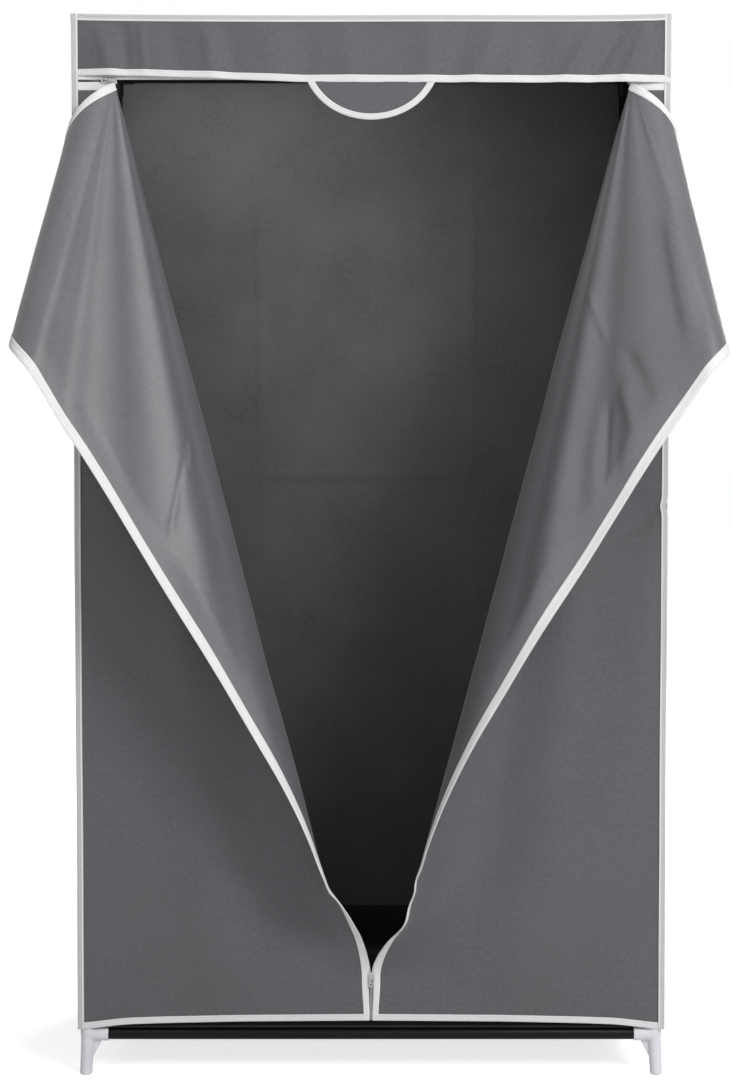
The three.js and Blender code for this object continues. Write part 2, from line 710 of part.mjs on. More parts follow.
// The pull hangs by its crossbar in the slider's bridge
function pullBody() {
  const gap = chainThickness / 2 + 2 * fit;
  const y = -gap - sliderPlate - bridgeRise / 2;
  const half = pullWidth / 2;
  const top = -sliderLength / 2 + pullThickness / 2;
  const bottom = top - pullLength;
  const outline = new THREE.Shape([
    new THREE.Vector2(-half, top),
    new THREE.Vector2(-half, bottom + pullCorner),
    new THREE.Vector2(-half + pullCorner, bottom),
    new THREE.Vector2(half - pullCorner, bottom),
    new THREE.Vector2(half, bottom + pullCorner),
    new THREE.Vector2(half, top),
  ]);
  const slot = new THREE.Path();
  const slotHalf = pullSlotWidth / 2;
  const slotTop = top - pullThickness;
  slot.moveTo(-slotHalf, slotTop);
  slot.lineTo(-slotHalf, slotTop - pullSlotLength);
  slot.lineTo(slotHalf, slotTop - pullSlotLength);
  slot.lineTo(slotHalf, slotTop);
  slot.closePath();
  const hole = new THREE.Path();
  hole.absarc(0, bottom + pullHoleEnd, pullHoleRadius, 0, 2 * Math.PI, true);
  outline.holes.push(slot, hole);
  const options = { depth: pullThickness, bevelEnabled: false, curveSegments: roundSides / 2 };
  const geometry = new THREE.ExtrudeGeometry(outline, options);
  geometry.translate(0, 0, -pullThickness / 2).rotateX(Math.PI / 2).translate(0, y, 0);
  return shaped(solid(geometry));
}

function zips() {
  const places = { centre: { at: point(0, frontPlane, sliderTop), turn: 0 } };
  for (const [sideName, flap] of Object.entries(flaps)) {
    const inner = flap.apexX + sliderPark - sliderLength / 2;
    const at = point(flap.side * inner, frontPlane, zipHeight);
    places[sideName] = { at, turn: -flap.side * Math.PI / 2 };
  }
  for (const [name, { at, turn }] of Object.entries(places)) {
    add(`zip_slider_${name}`, sliderBody().rotateY(turn).translate(...at), zinc);
    add(`zip_pull_${name}`, pullBody().rotateY(turn).translate(...at), zinc);
  }
  const half = chainWidth / 2;
  const thick = chainThickness / 2;
  const top = sliderTop - neckLength - chainShort;
  const chain = box([-half, half], [frontPlane - thick, frontPlane + thick], [hemMiddle, top]);
  add('zip_chain_closed', chain, whiteTape);
}

frame();
walls();
frontFlaps();
header();
tab();
zips();

// The origin is at the middle of the whole outline, on the floor
const outlineBox = new THREE.Box3().setFromObject(group, true);
const middlePoint = outlineBox.getCenter(new THREE.Vector3());
group.position.set(-middlePoint.x, -middlePoint.y, -outlineBox.min.z);
group.updateMatrixWorld(true);

export default group;
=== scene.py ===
"""Portable fabric wardrobe: cloth cover, bindings, zips, tubes and moulded joints, built round the
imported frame. Shapes are worked out in millimetres in the cabinet's own frame, where x = 0 is the
middle of the front, y = 0 the middle of its depth and z = 0 the floor, and are then placed in the
scene in metres."""
import json
import math

import bmesh
import bpy
import numpy as np
from mathutils import Matrix, Vector


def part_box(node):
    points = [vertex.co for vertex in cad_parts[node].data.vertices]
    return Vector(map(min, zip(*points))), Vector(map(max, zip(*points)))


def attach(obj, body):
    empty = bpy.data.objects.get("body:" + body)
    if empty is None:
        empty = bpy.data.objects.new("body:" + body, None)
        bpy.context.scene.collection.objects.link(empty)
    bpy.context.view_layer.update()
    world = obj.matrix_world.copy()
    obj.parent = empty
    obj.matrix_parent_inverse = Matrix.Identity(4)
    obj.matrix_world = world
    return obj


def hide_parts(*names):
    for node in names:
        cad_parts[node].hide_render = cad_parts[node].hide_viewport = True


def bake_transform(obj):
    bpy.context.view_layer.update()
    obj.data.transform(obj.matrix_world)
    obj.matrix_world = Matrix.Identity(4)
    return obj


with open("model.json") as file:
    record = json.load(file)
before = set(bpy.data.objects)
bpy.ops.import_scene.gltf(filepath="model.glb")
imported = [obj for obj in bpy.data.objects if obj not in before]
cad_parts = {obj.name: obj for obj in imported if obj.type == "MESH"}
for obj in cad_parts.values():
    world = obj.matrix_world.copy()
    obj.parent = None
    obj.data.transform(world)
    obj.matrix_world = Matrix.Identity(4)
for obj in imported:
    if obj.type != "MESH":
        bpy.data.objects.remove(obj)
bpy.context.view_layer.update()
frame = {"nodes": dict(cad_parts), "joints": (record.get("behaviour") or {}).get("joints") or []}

MM = 0.001
TURN = 2 * math.pi

# The cabinet's place and its main sizes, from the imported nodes
roof_low, roof_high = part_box("cover_roof")
band_low, band_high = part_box("header_band")
CENTRE = np.array([(roof_low.x + roof_high.x) / 2, (roof_high.y + band_low.y) / 2, 0.0])


def span(node):
    """Lowest and highest corner of a node in the cabinet's frame, in mm."""
    lowest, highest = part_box(node)
    return (np.array(lowest) - CENTRE) / MM, (np.array(highest) - CENTRE) / MM


HEIGHT = span("cover_roof")[1][2]
FABRIC = HEIGHT - span("cover_roof")[0][2]
HALF_WIDTH = span("cover_roof")[1][0]
HALF_DEPTH = span("cover_roof")[1][1]
FRONT = -HALF_DEPTH + FABRIC / 2
ZIP_Z = (span("zip_slider_left")[0][2] + span("zip_slider_left")[1][2]) / 2
PANEL_TOP = span("cover_front_left")[1][2]
HEM_MIDDLE = span("zip_chain_closed")[0][2]
SIDE_HEM = span("cover_side_left")[0][2]
BAND_FOOT = span("header_band")[0][2]
TAB_TOP = span("header_tab")[1][2]
TAB_FOOT = span("header_tab")[0][2]
TAB_HALF = span("header_tab")[1][0]
SLIDER_TOP = span("zip_slider_centre")[1][2]
SLIDER_FOOT = span("zip_slider_centre")[0][2]

# Cloth and tape
CLOTH = 0.7
TAPE = 0.55
TAPE_PUFF = 0.35
ZIP_TAPE_WIDTH = 11.4
HEM_TAPE_WIDTH = 9.4
SEAM_TAPE_WIDTH = 9.6
ZIP_HALF_GAP = 2.7
HEM_STEP_SHARES = [0, 0.45, 0.72, 0.86, 0.93, 1]
HEM_DROP_SHARES = [0, 0.1, 0.28, 0.45, 0.8, 1]
HEM_CORNER_FALL = 14
# Grid step of the cloths, and the angle in degrees above which an edge stays sharp
CELL = 8
SHARP_ABOVE = 50
SIDES = (("left", -1), ("right", 1))
ENDS = (("front", -1), ("rear", 1))


# Meshes

def to_scene(points):
    return np.asarray(points, float) * MM + CENTRE


def paired(u, v):
    """Two arrays of floats with one shape."""
    return np.broadcast_arrays(np.asarray(u, float), np.asarray(v, float))


def add_object(name, data):
    added = bpy.data.objects.new(name, data)
    bpy.context.scene.collection.objects.link(added)
    return added


def shade_smooth(mesh, sharp_above=None):
    """Smooth shading, where edges above an angle in degrees stay sharp."""
    mesh.polygons.foreach_set("use_smooth", [True] * len(mesh.polygons))
    if sharp_above is not None:
        mesh.set_sharp_from_angle(angle=math.radians(sharp_above))


def rework(mesh, *changes):
    sculpt = bmesh.new()
    sculpt.from_mesh(mesh)
    for change in changes:
        change(sculpt)
    sculpt.to_mesh(mesh)
    sculpt.free()


def face_out(sculpt):
    bmesh.ops.recalc_face_normals(sculpt, faces=sculpt.faces)


def outward(piece):
    """Turns a closed piece's faces to point out."""
    rework(piece.data, face_out)
    return piece


def mesh_object(name, points, faces, flat=None):
    """A mesh piece from points in the cabinet's frame. Its flat places become UVs in metres."""
    mesh = bpy.data.meshes.new(name)
    mesh.from_pydata(to_scene(points).tolist(), [], faces)
    if flat is not None:
        loops = np.zeros(len(mesh.loops), np.int32)
        mesh.loops.foreach_get("vertex_index", loops)
        layer = mesh.uv_layers.new(name="flat")
        layer.data.foreach_set("uv", (np.asarray(flat, float)[loops] * MM).ravel())
    shade_smooth(mesh, SHARP_ABOVE)
    mesh.update()
    return add_object(name, mesh)


def shell(name, face, back, flat):
    """A closed thin sheet between two grids of points, which share flat places."""
    rows, columns = face.shape[:2]
    count = rows * columns
    number = np.arange(count).reshape(rows, columns)
    a, b = number[:-1, :-1].ravel(), number[1:, :-1].ravel()
    c, d = number[1:, 1:].ravel(), number[:-1, 1:].ravel()
    front_faces = np.stack([a, b, c, d], 1)
    back_faces = np.stack([d, c, b, a], 1) + count
    edge = np.concatenate([number[0, :], number[1:, -1], number[-1, -2::-1], number[-2:0:-1, 0]])
    following = np.roll(edge, -1)
    rim = np.stack([edge, following, following + count, edge + count], 1)
    faces = np.concatenate([front_faces, back_faces, rim]).tolist()
    points = np.concatenate([face.reshape(-1, 3), back.reshape(-1, 3)])
    places = np.concatenate([flat.reshape(-1, 2)] * 2)
    piece = mesh_object(name, points, faces, places)
    inner = np.zeros(len(faces), np.int32)
    inner[len(front_faces):2 * len(front_faces)] = 1
    piece.data.polygons.foreach_set("material_index", inner)
    return piece


def sheet_on(name, surface, across, along):
    """A cloth over a grid of flat places, across and along, where surface(across, along, lift)
    gives its points."""
    face = surface(across, along, CLOTH / 2)
    back = surface(across, along, -CLOTH / 2)
    return outward(shell(name, face, back, np.stack([across, along], 2)))


def even_sheet(name, surface, u, v):
    """A cloth over every pair of flat places from u and v."""
    across, along = np.meshgrid(u, v, indexing="ij")
    return sheet_on(name, surface, across, along)


def swept(name, rings, flat):
    """A solid swept through rings of points, with a cap at each end."""
    steps, sides = rings.shape[:2]
    number = np.arange(steps * sides).reshape(steps, sides)
    nexts = np.roll(number, -1, axis=1)
    bands = np.stack([number[:-1], number[1:], nexts[1:], nexts[:-1]], 2)
    faces = bands.reshape(-1, 4).tolist()
    faces.append(number[0].tolist())
    faces.append(number[-1][::-1].tolist())
    return outward(mesh_object(name, rings.reshape(-1, 3), faces, flat.reshape(-1, 2)))


# Smooth helpers

def smoothstep(value, start, end):
    share = np.clip((value - start) / (end - start), 0, 1)
    return share * share * (3 - 2 * share)


def bump(value, centre, width):
    return np.exp(-((value - centre) / width) ** 2)


def ripples(u, v, seed, longest, shortest, count):
    """Soft seeded ripples between -1 and 1, with long waves strongest."""
    rng = np.random.default_rng(seed)
    total = np.zeros(np.broadcast(u, v).shape)
    weights = 0
    for k in range(count):
        wavelength = longest * (shortest / longest) ** (k / max(1, count - 1))
        angle = rng.uniform(0, math.pi)
        phase, bend = rng.uniform(0, TURN, 2)
        across = u * math.cos(angle) + v * math.sin(angle)
        along = v * math.cos(angle) - u * math.sin(angle)
        warp = 0.7 * np.sin(along * TURN / (wavelength * 2.3) + bend)
        weight = wavelength / longest
        total += weight * np.sin(across * TURN / wavelength + phase + warp)
        weights += weight
    return total / weights


def crease(u, v, start, end, width):
    """A ridge of height 1 along a straight line that fades at both ends."""
    start, end = np.array(start, float), np.array(end, float)
    run = end - start
    length = np.linalg.norm(run)
    run = run / length
    along = (u - start[0]) * run[0] + (v - start[1]) * run[1]
    off = (u - start[0]) * -run[1] + (v - start[1]) * run[0]
    fade = smoothstep(along, 0, length * 0.3) * (1 - smoothstep(along, length * 0.7, length))
    return np.exp(-(off / width) ** 2) * fade


def creased(u, v, rows):
    """The lift that rows of creases give: start, end, half width and height of each."""
    return sum(height * crease(u, v, start, end, width) for start, end, width, height in rows)


def dent(u, v, centre, turn, length, width):
    """A soft oval hump of height 1, with its long side turned from the u axis by degrees."""
    turn = math.radians(turn)
    along = (u - centre[0]) * math.cos(turn) + (v - centre[1]) * math.sin(turn)
    off = (v - centre[1]) * math.cos(turn) - (u - centre[0]) * math.sin(turn)
    return np.exp(-(along / length) ** 2 - (off / width) ** 2)


# Front cloth: flat places of the closed front are (x, z) on the left side, x below zero

# Creases of each side's front cloth: start, end, half width and height off the outer face.
# On the folded-back flap the inner face shows, so a height below zero is a ridge there.
CREASES = {
    -1: [
        ((-213, 1386), (-190, 1374), 2.2, -1.3), ((-190, 1376), (-208, 1344), 2.2, -1.2),
        ((-150, 985), (-35, 876), 4, 2.4), ((-168, 990), (-136, 952), 4, -1.8),
        ((-440, 905), (-130, 900), 3, 0.8), ((-400, 560), (-190, 380), 16, 1.4),
        ((-438, 640), (-330, 560), 9, -1.2), ((-430, 1010), (-300, 1060), 8, 1.0),
    ],
    1: [
        ((-218, 1366), (-30, 1194), 12, -5.5), ((-118, 1092), (-30, 960), 8, 3.6),
        ((-150, 1165), (-20, 1098), 12, 3.4), ((-112, 1118), (-30, 1056), 11, -3.4),
        ((-250, 1206), (-160, 1146), 6, -2.2),
        ((-446, 872), (-330, 846), 5, 3.2), ((-446, 868), (-345, 800), 5, -2.6),
        ((-446, 880), (-368, 915), 5, 2.4), ((-446, 874), (-380, 868), 3, -2.0),
        ((-440, 905), (-130, 898), 3, 0.7), ((-380, 620), (-200, 420), 18, 1.5),
        ((-436, 700), (-340, 640), 9, -1.2),
    ],
}
# Puckers along the zip edge: from one height to another, and how high they stand
EDGE_WAVES = {-1: (200, 420, 0.5), 1: (215, 400, 1.5)}
# Soft folds that run out from the zip's end: angle from straight down, half width, both in
# degrees, and height at half a metre
RAYS = {
    -1: [(36.0, 9.0, -13.0), (25.2, 2.8, -9.0), (32.0, 3.2, 3.0), (43.5, 2.4, 5.0), (50.0, 2.2, -4.0),
         (6.5, 2.6, 5.0)],
    1: [(38.0, 9.5, -21.0), (26.8, 3.0, -12.0), (33.0, 3.0, 2.0), (42.0, 2.6, -2.0), (53.5, 2.0, -4.0),
        (6.5, 2.6, 5.0)],
}
# Soft humps and hollows: centre, turn in degrees, half length, half width and height
DENTS = {
    -1: [
        ((-330, 520), -52, 190, 46, 3.6), ((-210, 330), -48, 150, 40, -4.4),
        ((-60, 700), -78, 170, 26, -2.4), ((-120, 620), -78, 190, 30, 2.4),
        ((-400, 900), -80, 260, 30, 2.0), ((-88, 288), -45, 115, 30, 9.0),
    ],
    1: [
        ((-40, 1010), -58, 60, 16, 4.6), ((-78, 1000), -58, 70, 16, -3.6),
        ((-300, 560), -55, 180, 46, 3.6), ((-180, 350), -48, 150, 40, -4.2),
        ((-240, 1000), -75, 240, 24, -2.2), ((-395, 870), 10, 60, 40, -4.0),
        ((-400, 640), -80, 200, 30, 2.0), ((-112, 278), -49, 95, 19, 7.0),
    ],
}
# The cloth lies calm near the centre slider: up to these heights above it, and between these
# distances from the zip
CALM_ABOVE = (40, 120)
CALM_ASIDE = (10, 60)
# Distances over which the wrinkles fade towards the side, the top edge, the hem and the zip, and
# the share of them that is left at the zip
CALM_SIDE = 36
CALM_TOP = 60
CALM_HEM = 90
CALM_ZIP = 45
ZIP_SHARE = 0.35
# The cloth opens by a mix of a steady and an eased rise. The steps in height soften its start.
OPENING_STEPS = (-9, -3, 3, 9)
OPENING_HASTE = 1.2
EASED_SHARE = 0.35

FLAP_SIZES = {
    "left": dict(
        side=-1, apex_inset=61.5, apex_rise=1.5, panel_angle=10.45, cone_angle=4.5,
        wrap_angle=144, corner_top=6, corner_fall=321.5, corner_radius=31.6, corner_angle=118,
        ease_height=190),
    "right": dict(
        side=1, apex_inset=58, apex_rise=0, panel_angle=9.7, cone_angle=5.5,
        wrap_angle=143.6, corner_top=6, corner_fall=330, corner_radius=32, corner_angle=126,
        ease_height=125),
}


def hem_line(x):
    """Height of the front hem, which hangs a little lower at the corners."""
    shares = np.abs(x) / HALF_WIDTH
    blur = np.linspace(-0.05, 0.05, 9)
    drops = [np.interp(np.clip(np.abs(shares + b), 0, 1), HEM_STEP_SHARES, HEM_DROP_SHARES) for b in blur]
    return HEM_MIDDLE - HEM_CORNER_FALL * np.mean(drops, axis=0)


class Fold:
    """How one side of the front is folded back: flat, then round a cone whose tip is the level
    zip's end, then flat again, with the free corner turned back round a straight roll."""

    def __init__(self, side, apex_inset, apex_rise, panel_angle, cone_angle, wrap_angle,
                 corner_top, corner_fall, corner_radius, corner_angle, ease_height):
        self.side = side
        self.apex_x = HALF_WIDTH - apex_inset
        self.apex_z = ZIP_Z + apex_rise
        self.apex = np.array([-self.apex_x, FRONT, self.apex_z])
        self.start = math.radians(panel_angle)
        self.half = math.radians(cone_angle)
        self.wrap = math.radians(wrap_angle)
        self.end = self.start + self.wrap * math.sin(self.half)
        self.radius = corner_radius
        self.corner_turn = math.radians(corner_angle)
        self.rolled_above = SLIDER_TOP + ease_height
        self.corner_z = self.apex_z - corner_fall
        self.set_directions()
        first = self.in_plane(-self.apex_x + corner_top, self.apex_z)
        last = self.in_plane(0.0, self.corner_z)
        self.line_start = first
        self.line = (last - first) / np.linalg.norm(last - first)
        self.beyond = np.array([-self.line[1], self.line[0]])
        if np.dot(self.in_plane(0.0, self.apex_z) - first, self.beyond) < 0:
            self.beyond = -self.beyond

    def set_directions(self):
        back = np.array([math.sin(self.start), 0, -math.cos(self.start)])
        out = np.array([0.0, -1, 0])
        self.right = np.array([math.cos(self.start), 0, math.sin(self.start)])
        self.axis = back * math.cos(self.half) + out * math.sin(self.half)
        self.lift = out * math.cos(self.half) - back * math.sin(self.half)
        self.down = self.ray(np.array(self.wrap))
        self.over = self.lift * math.sin(self.wrap) + self.right * math.cos(self.wrap)
        self.normal = np.cross(self.over, self.down)

    def ray(self, turn):
        turn = np.asarray(turn)[..., None]
        around = self.right * np.sin(turn) - self.lift * np.cos(turn)
        return self.axis * math.cos(self.half) + around * math.sin(self.half)

    def polar(self, x, z):
        aside, fall = x + self.apex_x, self.apex_z - z
        return np.hypot(aside, fall), np.arctan2(aside, fall)

    def in_plane(self, x, z):
        distance, angle = self.polar(np.asarray(x, float), np.asarray(z, float))
        return np.stack([distance * np.cos(angle - self.end), distance * np.sin(angle - self.end)], -1)

    def place(self, x, z):
        """Points of the opened front for flat places."""
        distance, angle = self.polar(x, z)
        turn = np.clip((angle - self.start) / math.sin(self.half), 0, self.wrap)
        on_cone = self.apex + distance[..., None] * self.ray(turn)
        folded = np.where((angle < self.end)[..., None], on_cone, self.on_flap(x, z))
        flat = np.stack([x, np.full_like(x, FRONT), z], -1)
        share = np.where(angle <= self.start, 0, self.opened(z))
        return flat + (folded - flat) * share[..., None]

    def opened(self, z):
        """How far the cloth is folded back at a height: from shut at the slider to full."""
        eased = smoothstep(z, SLIDER_TOP, self.rolled_above)
        height = self.rolled_above - SLIDER_TOP
        shares = [(z + step - SLIDER_TOP) / height for step in OPENING_STEPS]
        steady = np.mean([np.clip(OPENING_HASTE * share, 0, 1) for share in shares], axis=0)
        opened = EASED_SHARE * eased + (1 - EASED_SHARE) * steady
        return np.where(z <= SLIDER_TOP + OPENING_STEPS[0], 0, opened)

    def on_flap(self, x, z):
        place = self.in_plane(x, z) - self.line_start
        along, off = place @ self.line, place @ self.beyond
        turn = np.clip(off / self.radius, 0, self.corner_turn)
        rest = off - self.radius * turn
        across = self.radius * np.sin(turn) + rest * np.cos(turn)
        depth = self.radius * (1 - np.cos(turn)) + rest * np.sin(turn)
        flat = self.line_start + along[..., None] * self.line + across[..., None] * self.beyond
        return (self.apex + flat[..., :1] * self.down + flat[..., 1:] * self.over
                - depth[..., None] * self.normal)

    def surface(self, x, z, lift):
        """Points lifted off the cloth's outer face, wrinkles included, on the real side."""
        x, z = paired(x, z)
        step = 0.5
        run = self.place(x + step, z) - self.place(x - step, z)
        rise = self.place(x, z + step) - self.place(x, z - step)
        normal = np.cross(run, rise)
        normal /= np.maximum(np.linalg.norm(normal, axis=-1, keepdims=True), 1e-9)
        raised = np.asarray(lift) + self.wrinkles(x, z)
        points = self.place(x, z) + normal * raised[..., None]
        return points * np.array([-self.side, 1, 1])

    def wrinkles(self, x, z):
        """Lift of the cloth's outer face: soft ripples all over, then its own creases and dents,
        with nothing at the sewn edges and along the zips."""
        share = smoothstep(x + HALF_WIDTH, 0, CALM_SIDE) * smoothstep(PANEL_TOP - z, 0, CALM_TOP)
        share = share * smoothstep(z - hem_line(x), 0, CALM_HEM)
        near_slider = 1 - smoothstep(z - SLIDER_TOP, *CALM_ABOVE)
        share = share * (1 - near_slider * (1 - smoothstep(-x, *CALM_ASIDE)))
        share = share * (ZIP_SHARE + (1 - ZIP_SHARE) * smoothstep(-x, 0, CALM_ZIP))
        total = 1.5 * ripples(x, z, 11 + self.side, 420, 110, 6) + creased(x, z, CREASES[self.side])
        for centre, turn, length, width, height in DENTS[self.side]:
            total = total + height * dent(x, z, centre, turn, length, width)
        distance, angle = self.polar(x, z)
        for degrees, width, height in RAYS[self.side]:
            reach = np.clip(distance / 500, 0, 1.4)
            total = total + height * reach * bump(np.degrees(angle), degrees, width)
        low, high, height = EDGE_WAVES[self.side]
        inside_waves = smoothstep(z, low, low + 40) * (1 - smoothstep(z, high - 60, high))
        waves = np.sin(z / 9.5 + 0.8 * np.sin(z / 17)) * np.exp(x / 30)
        return total * share + height * inside_waves * waves


folds = {name: Fold(**sizes) for name, sizes in FLAP_SIZES.items()}
# The corner's own cloth begins a little before its roll: this far from the zip end along the
# top edge, and this far below the roll on the centre zip's edge
CORNER_START = 4.7
CORNER_LEAD = 30


def corner_line(fold):
    return (-fold.apex_x + CORNER_START, PANEL_TOP), (-ZIP_HALF_GAP, fold.corner_z - CORNER_LEAD)


def fan(tops, feet, rows):
    """Grid of flat places on straight lines from each top to its foot."""
    share = np.linspace(0, 1, rows)[None, :, None]
    grid = tops[:, None, :] * (1 - share) + feet[:, None, :] * share
    return grid[..., 0], grid[..., 1]


def front_lines(fold):
    """The tops and feet of the lines down the front cloth, from the side to the corner's cloth."""
    near, zip_low = corner_line(fold)
    top_x = -fold.apex_x + (fold.apex_z - PANEL_TOP) * math.tan(fold.start)
    foot_x = -fold.apex_x + (fold.apex_z - HEM_MIDDLE) * math.tan(fold.start)
    tops, feet = [], []
    for share in np.linspace(0, 1, 42)[:-1]:
        tops.append((-HALF_WIDTH + share * (top_x + HALF_WIDTH), PANEL_TOP))
        foot = -HALF_WIDTH + share * (foot_x + HALF_WIDTH)
        feet.append((foot, float(hem_line(np.array(foot)))))
    hem_x = np.linspace(foot_x, -ZIP_HALF_GAP, 17)[:-1]
    zip_z = np.arange(HEM_MIDDLE, zip_low[1], CELL)
    moving = len(hem_x) + len(zip_z)
    for i, x in enumerate(hem_x):
        feet.append((x, float(hem_line(np.array(x)))))
        tops.append((top_x + (near[0] - top_x) * i / moving, PANEL_TOP))
    for i, z in enumerate(zip_z):
        feet.append((-ZIP_HALF_GAP, z))
        tops.append((top_x + (near[0] - top_x) * (len(hem_x) + i) / moving, PANEL_TOP))
    tops.append(near)
    feet.append(zip_low)
    return np.array(tops), np.array(feet)


def flat_area(x, z):
    """Area of a grid of flat places, in square metres."""
    places = np.stack([x, z], -1)
    across = places[1:, :-1] - places[:-1, :-1]
    along = places[:-1, 1:] - places[:-1, :-1]
    cells = np.abs(across[..., 0] * along[..., 1] - across[..., 1] * along[..., 0])
    return float(cells.sum()) * MM * MM


# Materials

def socket(node, name, value):
    node.inputs[name].default_value = value


def new_material(name, rough, specular=0.5, metallic=0.0):
    """An empty procedural material: its node tree, its shader and a helper to add nodes."""
    material = bpy.data.materials.new(name)
    material.use_nodes = True
    tree = material.node_tree
    shader = tree.nodes["Principled BSDF"]
    socket(shader, "Roughness", rough)
    socket(shader, "Specular IOR Level", specular)
    socket(shader, "Metallic", metallic)
    return material, tree, shader


def add_node(tree, kind, **values):
    node = tree.nodes.new(kind)
    for name, value in values.items():
        if name in node.inputs:
            node.inputs[name].default_value = value
        else:
            setattr(node, name, value)
    return node


def flat_places(tree):
    return add_node(tree, "ShaderNodeUVMap", uv_map="flat").outputs["UV"]


def object_places(tree):
    return add_node(tree, "ShaderNodeTexCoord").outputs["Object"]


def noise(tree, places, scale, detail=3.0, rough=0.55):
    node = add_node(tree, "ShaderNodeTexNoise")
    socket(node, "Scale", scale)
    socket(node, "Detail", detail)
    socket(node, "Roughness", rough)
    tree.links.new(places, node.inputs["Vector"])
    return node.outputs["Fac"]


def ranged(tree, value, low, high, to_low, to_high):
    node = add_node(tree, "ShaderNodeMapRange")
    for name, number in (("From Min", low), ("From Max", high), ("To Min", to_low), ("To Max", to_high)):
        socket(node, name, number)
    tree.links.new(value, node.inputs["Value"])
    return node.outputs["Result"]


def mixed(tree, share, first, second):
    """Colour between two, each a colour or a socket."""
    node = add_node(tree, "ShaderNodeMix", data_type="RGBA")
    tree.links.new(share, node.inputs[0])
    for place, colour in ((6, first), (7, second)):
        if isinstance(colour, tuple):
            node.inputs[place].default_value = (*colour, 1)
        else:
            tree.links.new(colour, node.inputs[place])
    return node.outputs[2]


def bumped(tree, height, distance, strength=1.0, over=None):
    node = add_node(tree, "ShaderNodeBump")
    socket(node, "Distance", distance)
    socket(node, "Strength", strength)
    tree.links.new(height, node.inputs["Height"])
    if over is not None:
        tree.links.new(over, node.inputs["Normal"])
    return node.outputs["Normal"]


def computed(tree, operation, first, second=None):
    """A math node's result from one or two values, each a number or a socket."""
    node = add_node(tree, "ShaderNodeMath", operation=operation)
    for place, value in enumerate((first, second)):
        if isinstance(value, float):
            node.inputs[place].default_value = value
        elif value is not None:
            tree.links.new(value, node.inputs[place])
    return node.outputs[0]


def bond_dots(tree, places, pitch):
    """The embossed bonding points of spun-bonded cloth: 1 in each dimple, 0 between."""
    turned = add_node(tree, "ShaderNodeMapping")
    socket(turned, "Rotation", (0, 0, math.radians(45)))
    tree.links.new(places, turned.inputs["Vector"])
    cells = add_node(tree, "ShaderNodeTexVoronoi", voronoi_dimensions="2D")
    socket(cells, "Scale", 1 / pitch)
    socket(cells, "Randomness", 0.0)
    tree.links.new(turned.outputs["Vector"], cells.inputs["Vector"])
    return ranged(tree, cells.outputs["Distance"], 0.2, 0.42, 1.0, 0.0)


def cloth_material(name, colour, stained, blotch=0.12, sheen=0.1, rough=0.66, specular=0.3):
    """Spun-bonded non-woven: bonding points, loose fibres and faint blotches."""
    material, tree, shader = new_material(name, rough=rough, specular=specular)
    places = flat_places(tree)
    blotches = noise(tree, places, 7.0, 4.0, 0.6)
    fibres = noise(tree, places, 900.0, 2.0, 0.7)
    dots = bond_dots(tree, places, 0.0017)
    pale = tuple(c * (1 + blotch) for c in colour)
    dark = tuple(c * (1 - blotch) for c in colour)
    grain = noise(tree, places, 150.0, 3.0, 0.65)
    cloudy = mixed(tree, ranged(tree, blotches, 0.3, 0.7, 0, 1), dark, pale)
    toned = mixed(tree, ranged(tree, grain, 0.38, 0.68, 0, 0.6), cloudy, tuple(c * 1.35 for c in colour))
    aged = mixed(tree, ranged(tree, noise(tree, places, 3.1, 3.0), 0.5, 0.75, 0, 0.5), toned, stained)
    shaded = mixed(tree, ranged(tree, dots, 0, 1, 0, 0.3), aged, tuple(c * 0.55 for c in colour))
    fuzzy = mixed(tree, ranged(tree, fibres, 0.35, 0.75, 0, 0.2), shaded, tuple(c * 1.7 for c in colour))
    tree.links.new(fuzzy, shader.inputs["Base Color"])
    soft = bumped(tree, noise(tree, places, 38.0, 3.0), 0.001, 0.6)
    fine = bumped(tree, fibres, 0.00012, 0.5, soft)
    tree.links.new(bumped(tree, ranged(tree, dots, 0, 1, 1, 0), 0.0001, 0.6, fine), shader.inputs["Normal"])
    socket(shader, "Sheen Weight", sheen)
    socket(shader, "Sheen Roughness", 0.45)
    return material


def tape_material(name, colour, pale_line=None):
    """Folded binding tape with one row of stitches at v = 0 across, u along. A pale line shows
    where its edge catches the light, at a place across."""
    material, tree, shader = new_material(name, rough=0.7, specular=0.3)
    places = flat_places(tree)
    split = add_node(tree, "ShaderNodeSeparateXYZ")
    tree.links.new(places, split.inputs["Vector"])
    along = computed(tree, "MODULO", split.outputs["X"], 0.0034)
    on_row = computed(tree, "ABSOLUTE", split.outputs["Y"])
    near = ranged(tree, on_row, 0.0004, 0.0007, 1, 0)
    in_stitch = ranged(tree, along, 0.0024, 0.0028, 1, 0)
    stitch = computed(tree, "MULTIPLY", near, in_stitch)
    # The stitch row's groove is darkened with painted shade
    groove_painted_shade = ranged(tree, on_row, 0.0, 0.001, 0.55, 0)
    shade = noise(tree, places, 260.0, 3.0)
    toned = mixed(tree, ranged(tree, shade, 0.3, 0.7, 0, 1), tuple(c * 0.95 for c in colour), colour)
    groove_shaded = mixed(tree, groove_painted_shade, toned, tuple(c * 0.8 for c in colour))
    sewn = mixed(tree, stitch, groove_shaded, tuple(min(1, c * 1.12) for c in colour))
    if pale_line is not None:
        apart = computed(tree, "ABSOLUTE", computed(tree, "SUBTRACT", split.outputs["Y"], pale_line))
        sewn = mixed(tree, ranged(tree, apart, 0.0006, 0.0012, 1, 0), sewn, (0.86, 0.85, 0.86))
    tree.links.new(sewn, shader.inputs["Base Color"])
    dots = bond_dots(tree, places, 0.0015)
    weave = bumped(tree, ranged(tree, dots, 0, 1, 1, 0), 0.00008, 0.5)
    tree.links.new(bumped(tree, stitch, 0.0003, 0.8, weave), shader.inputs["Normal"])
    return material


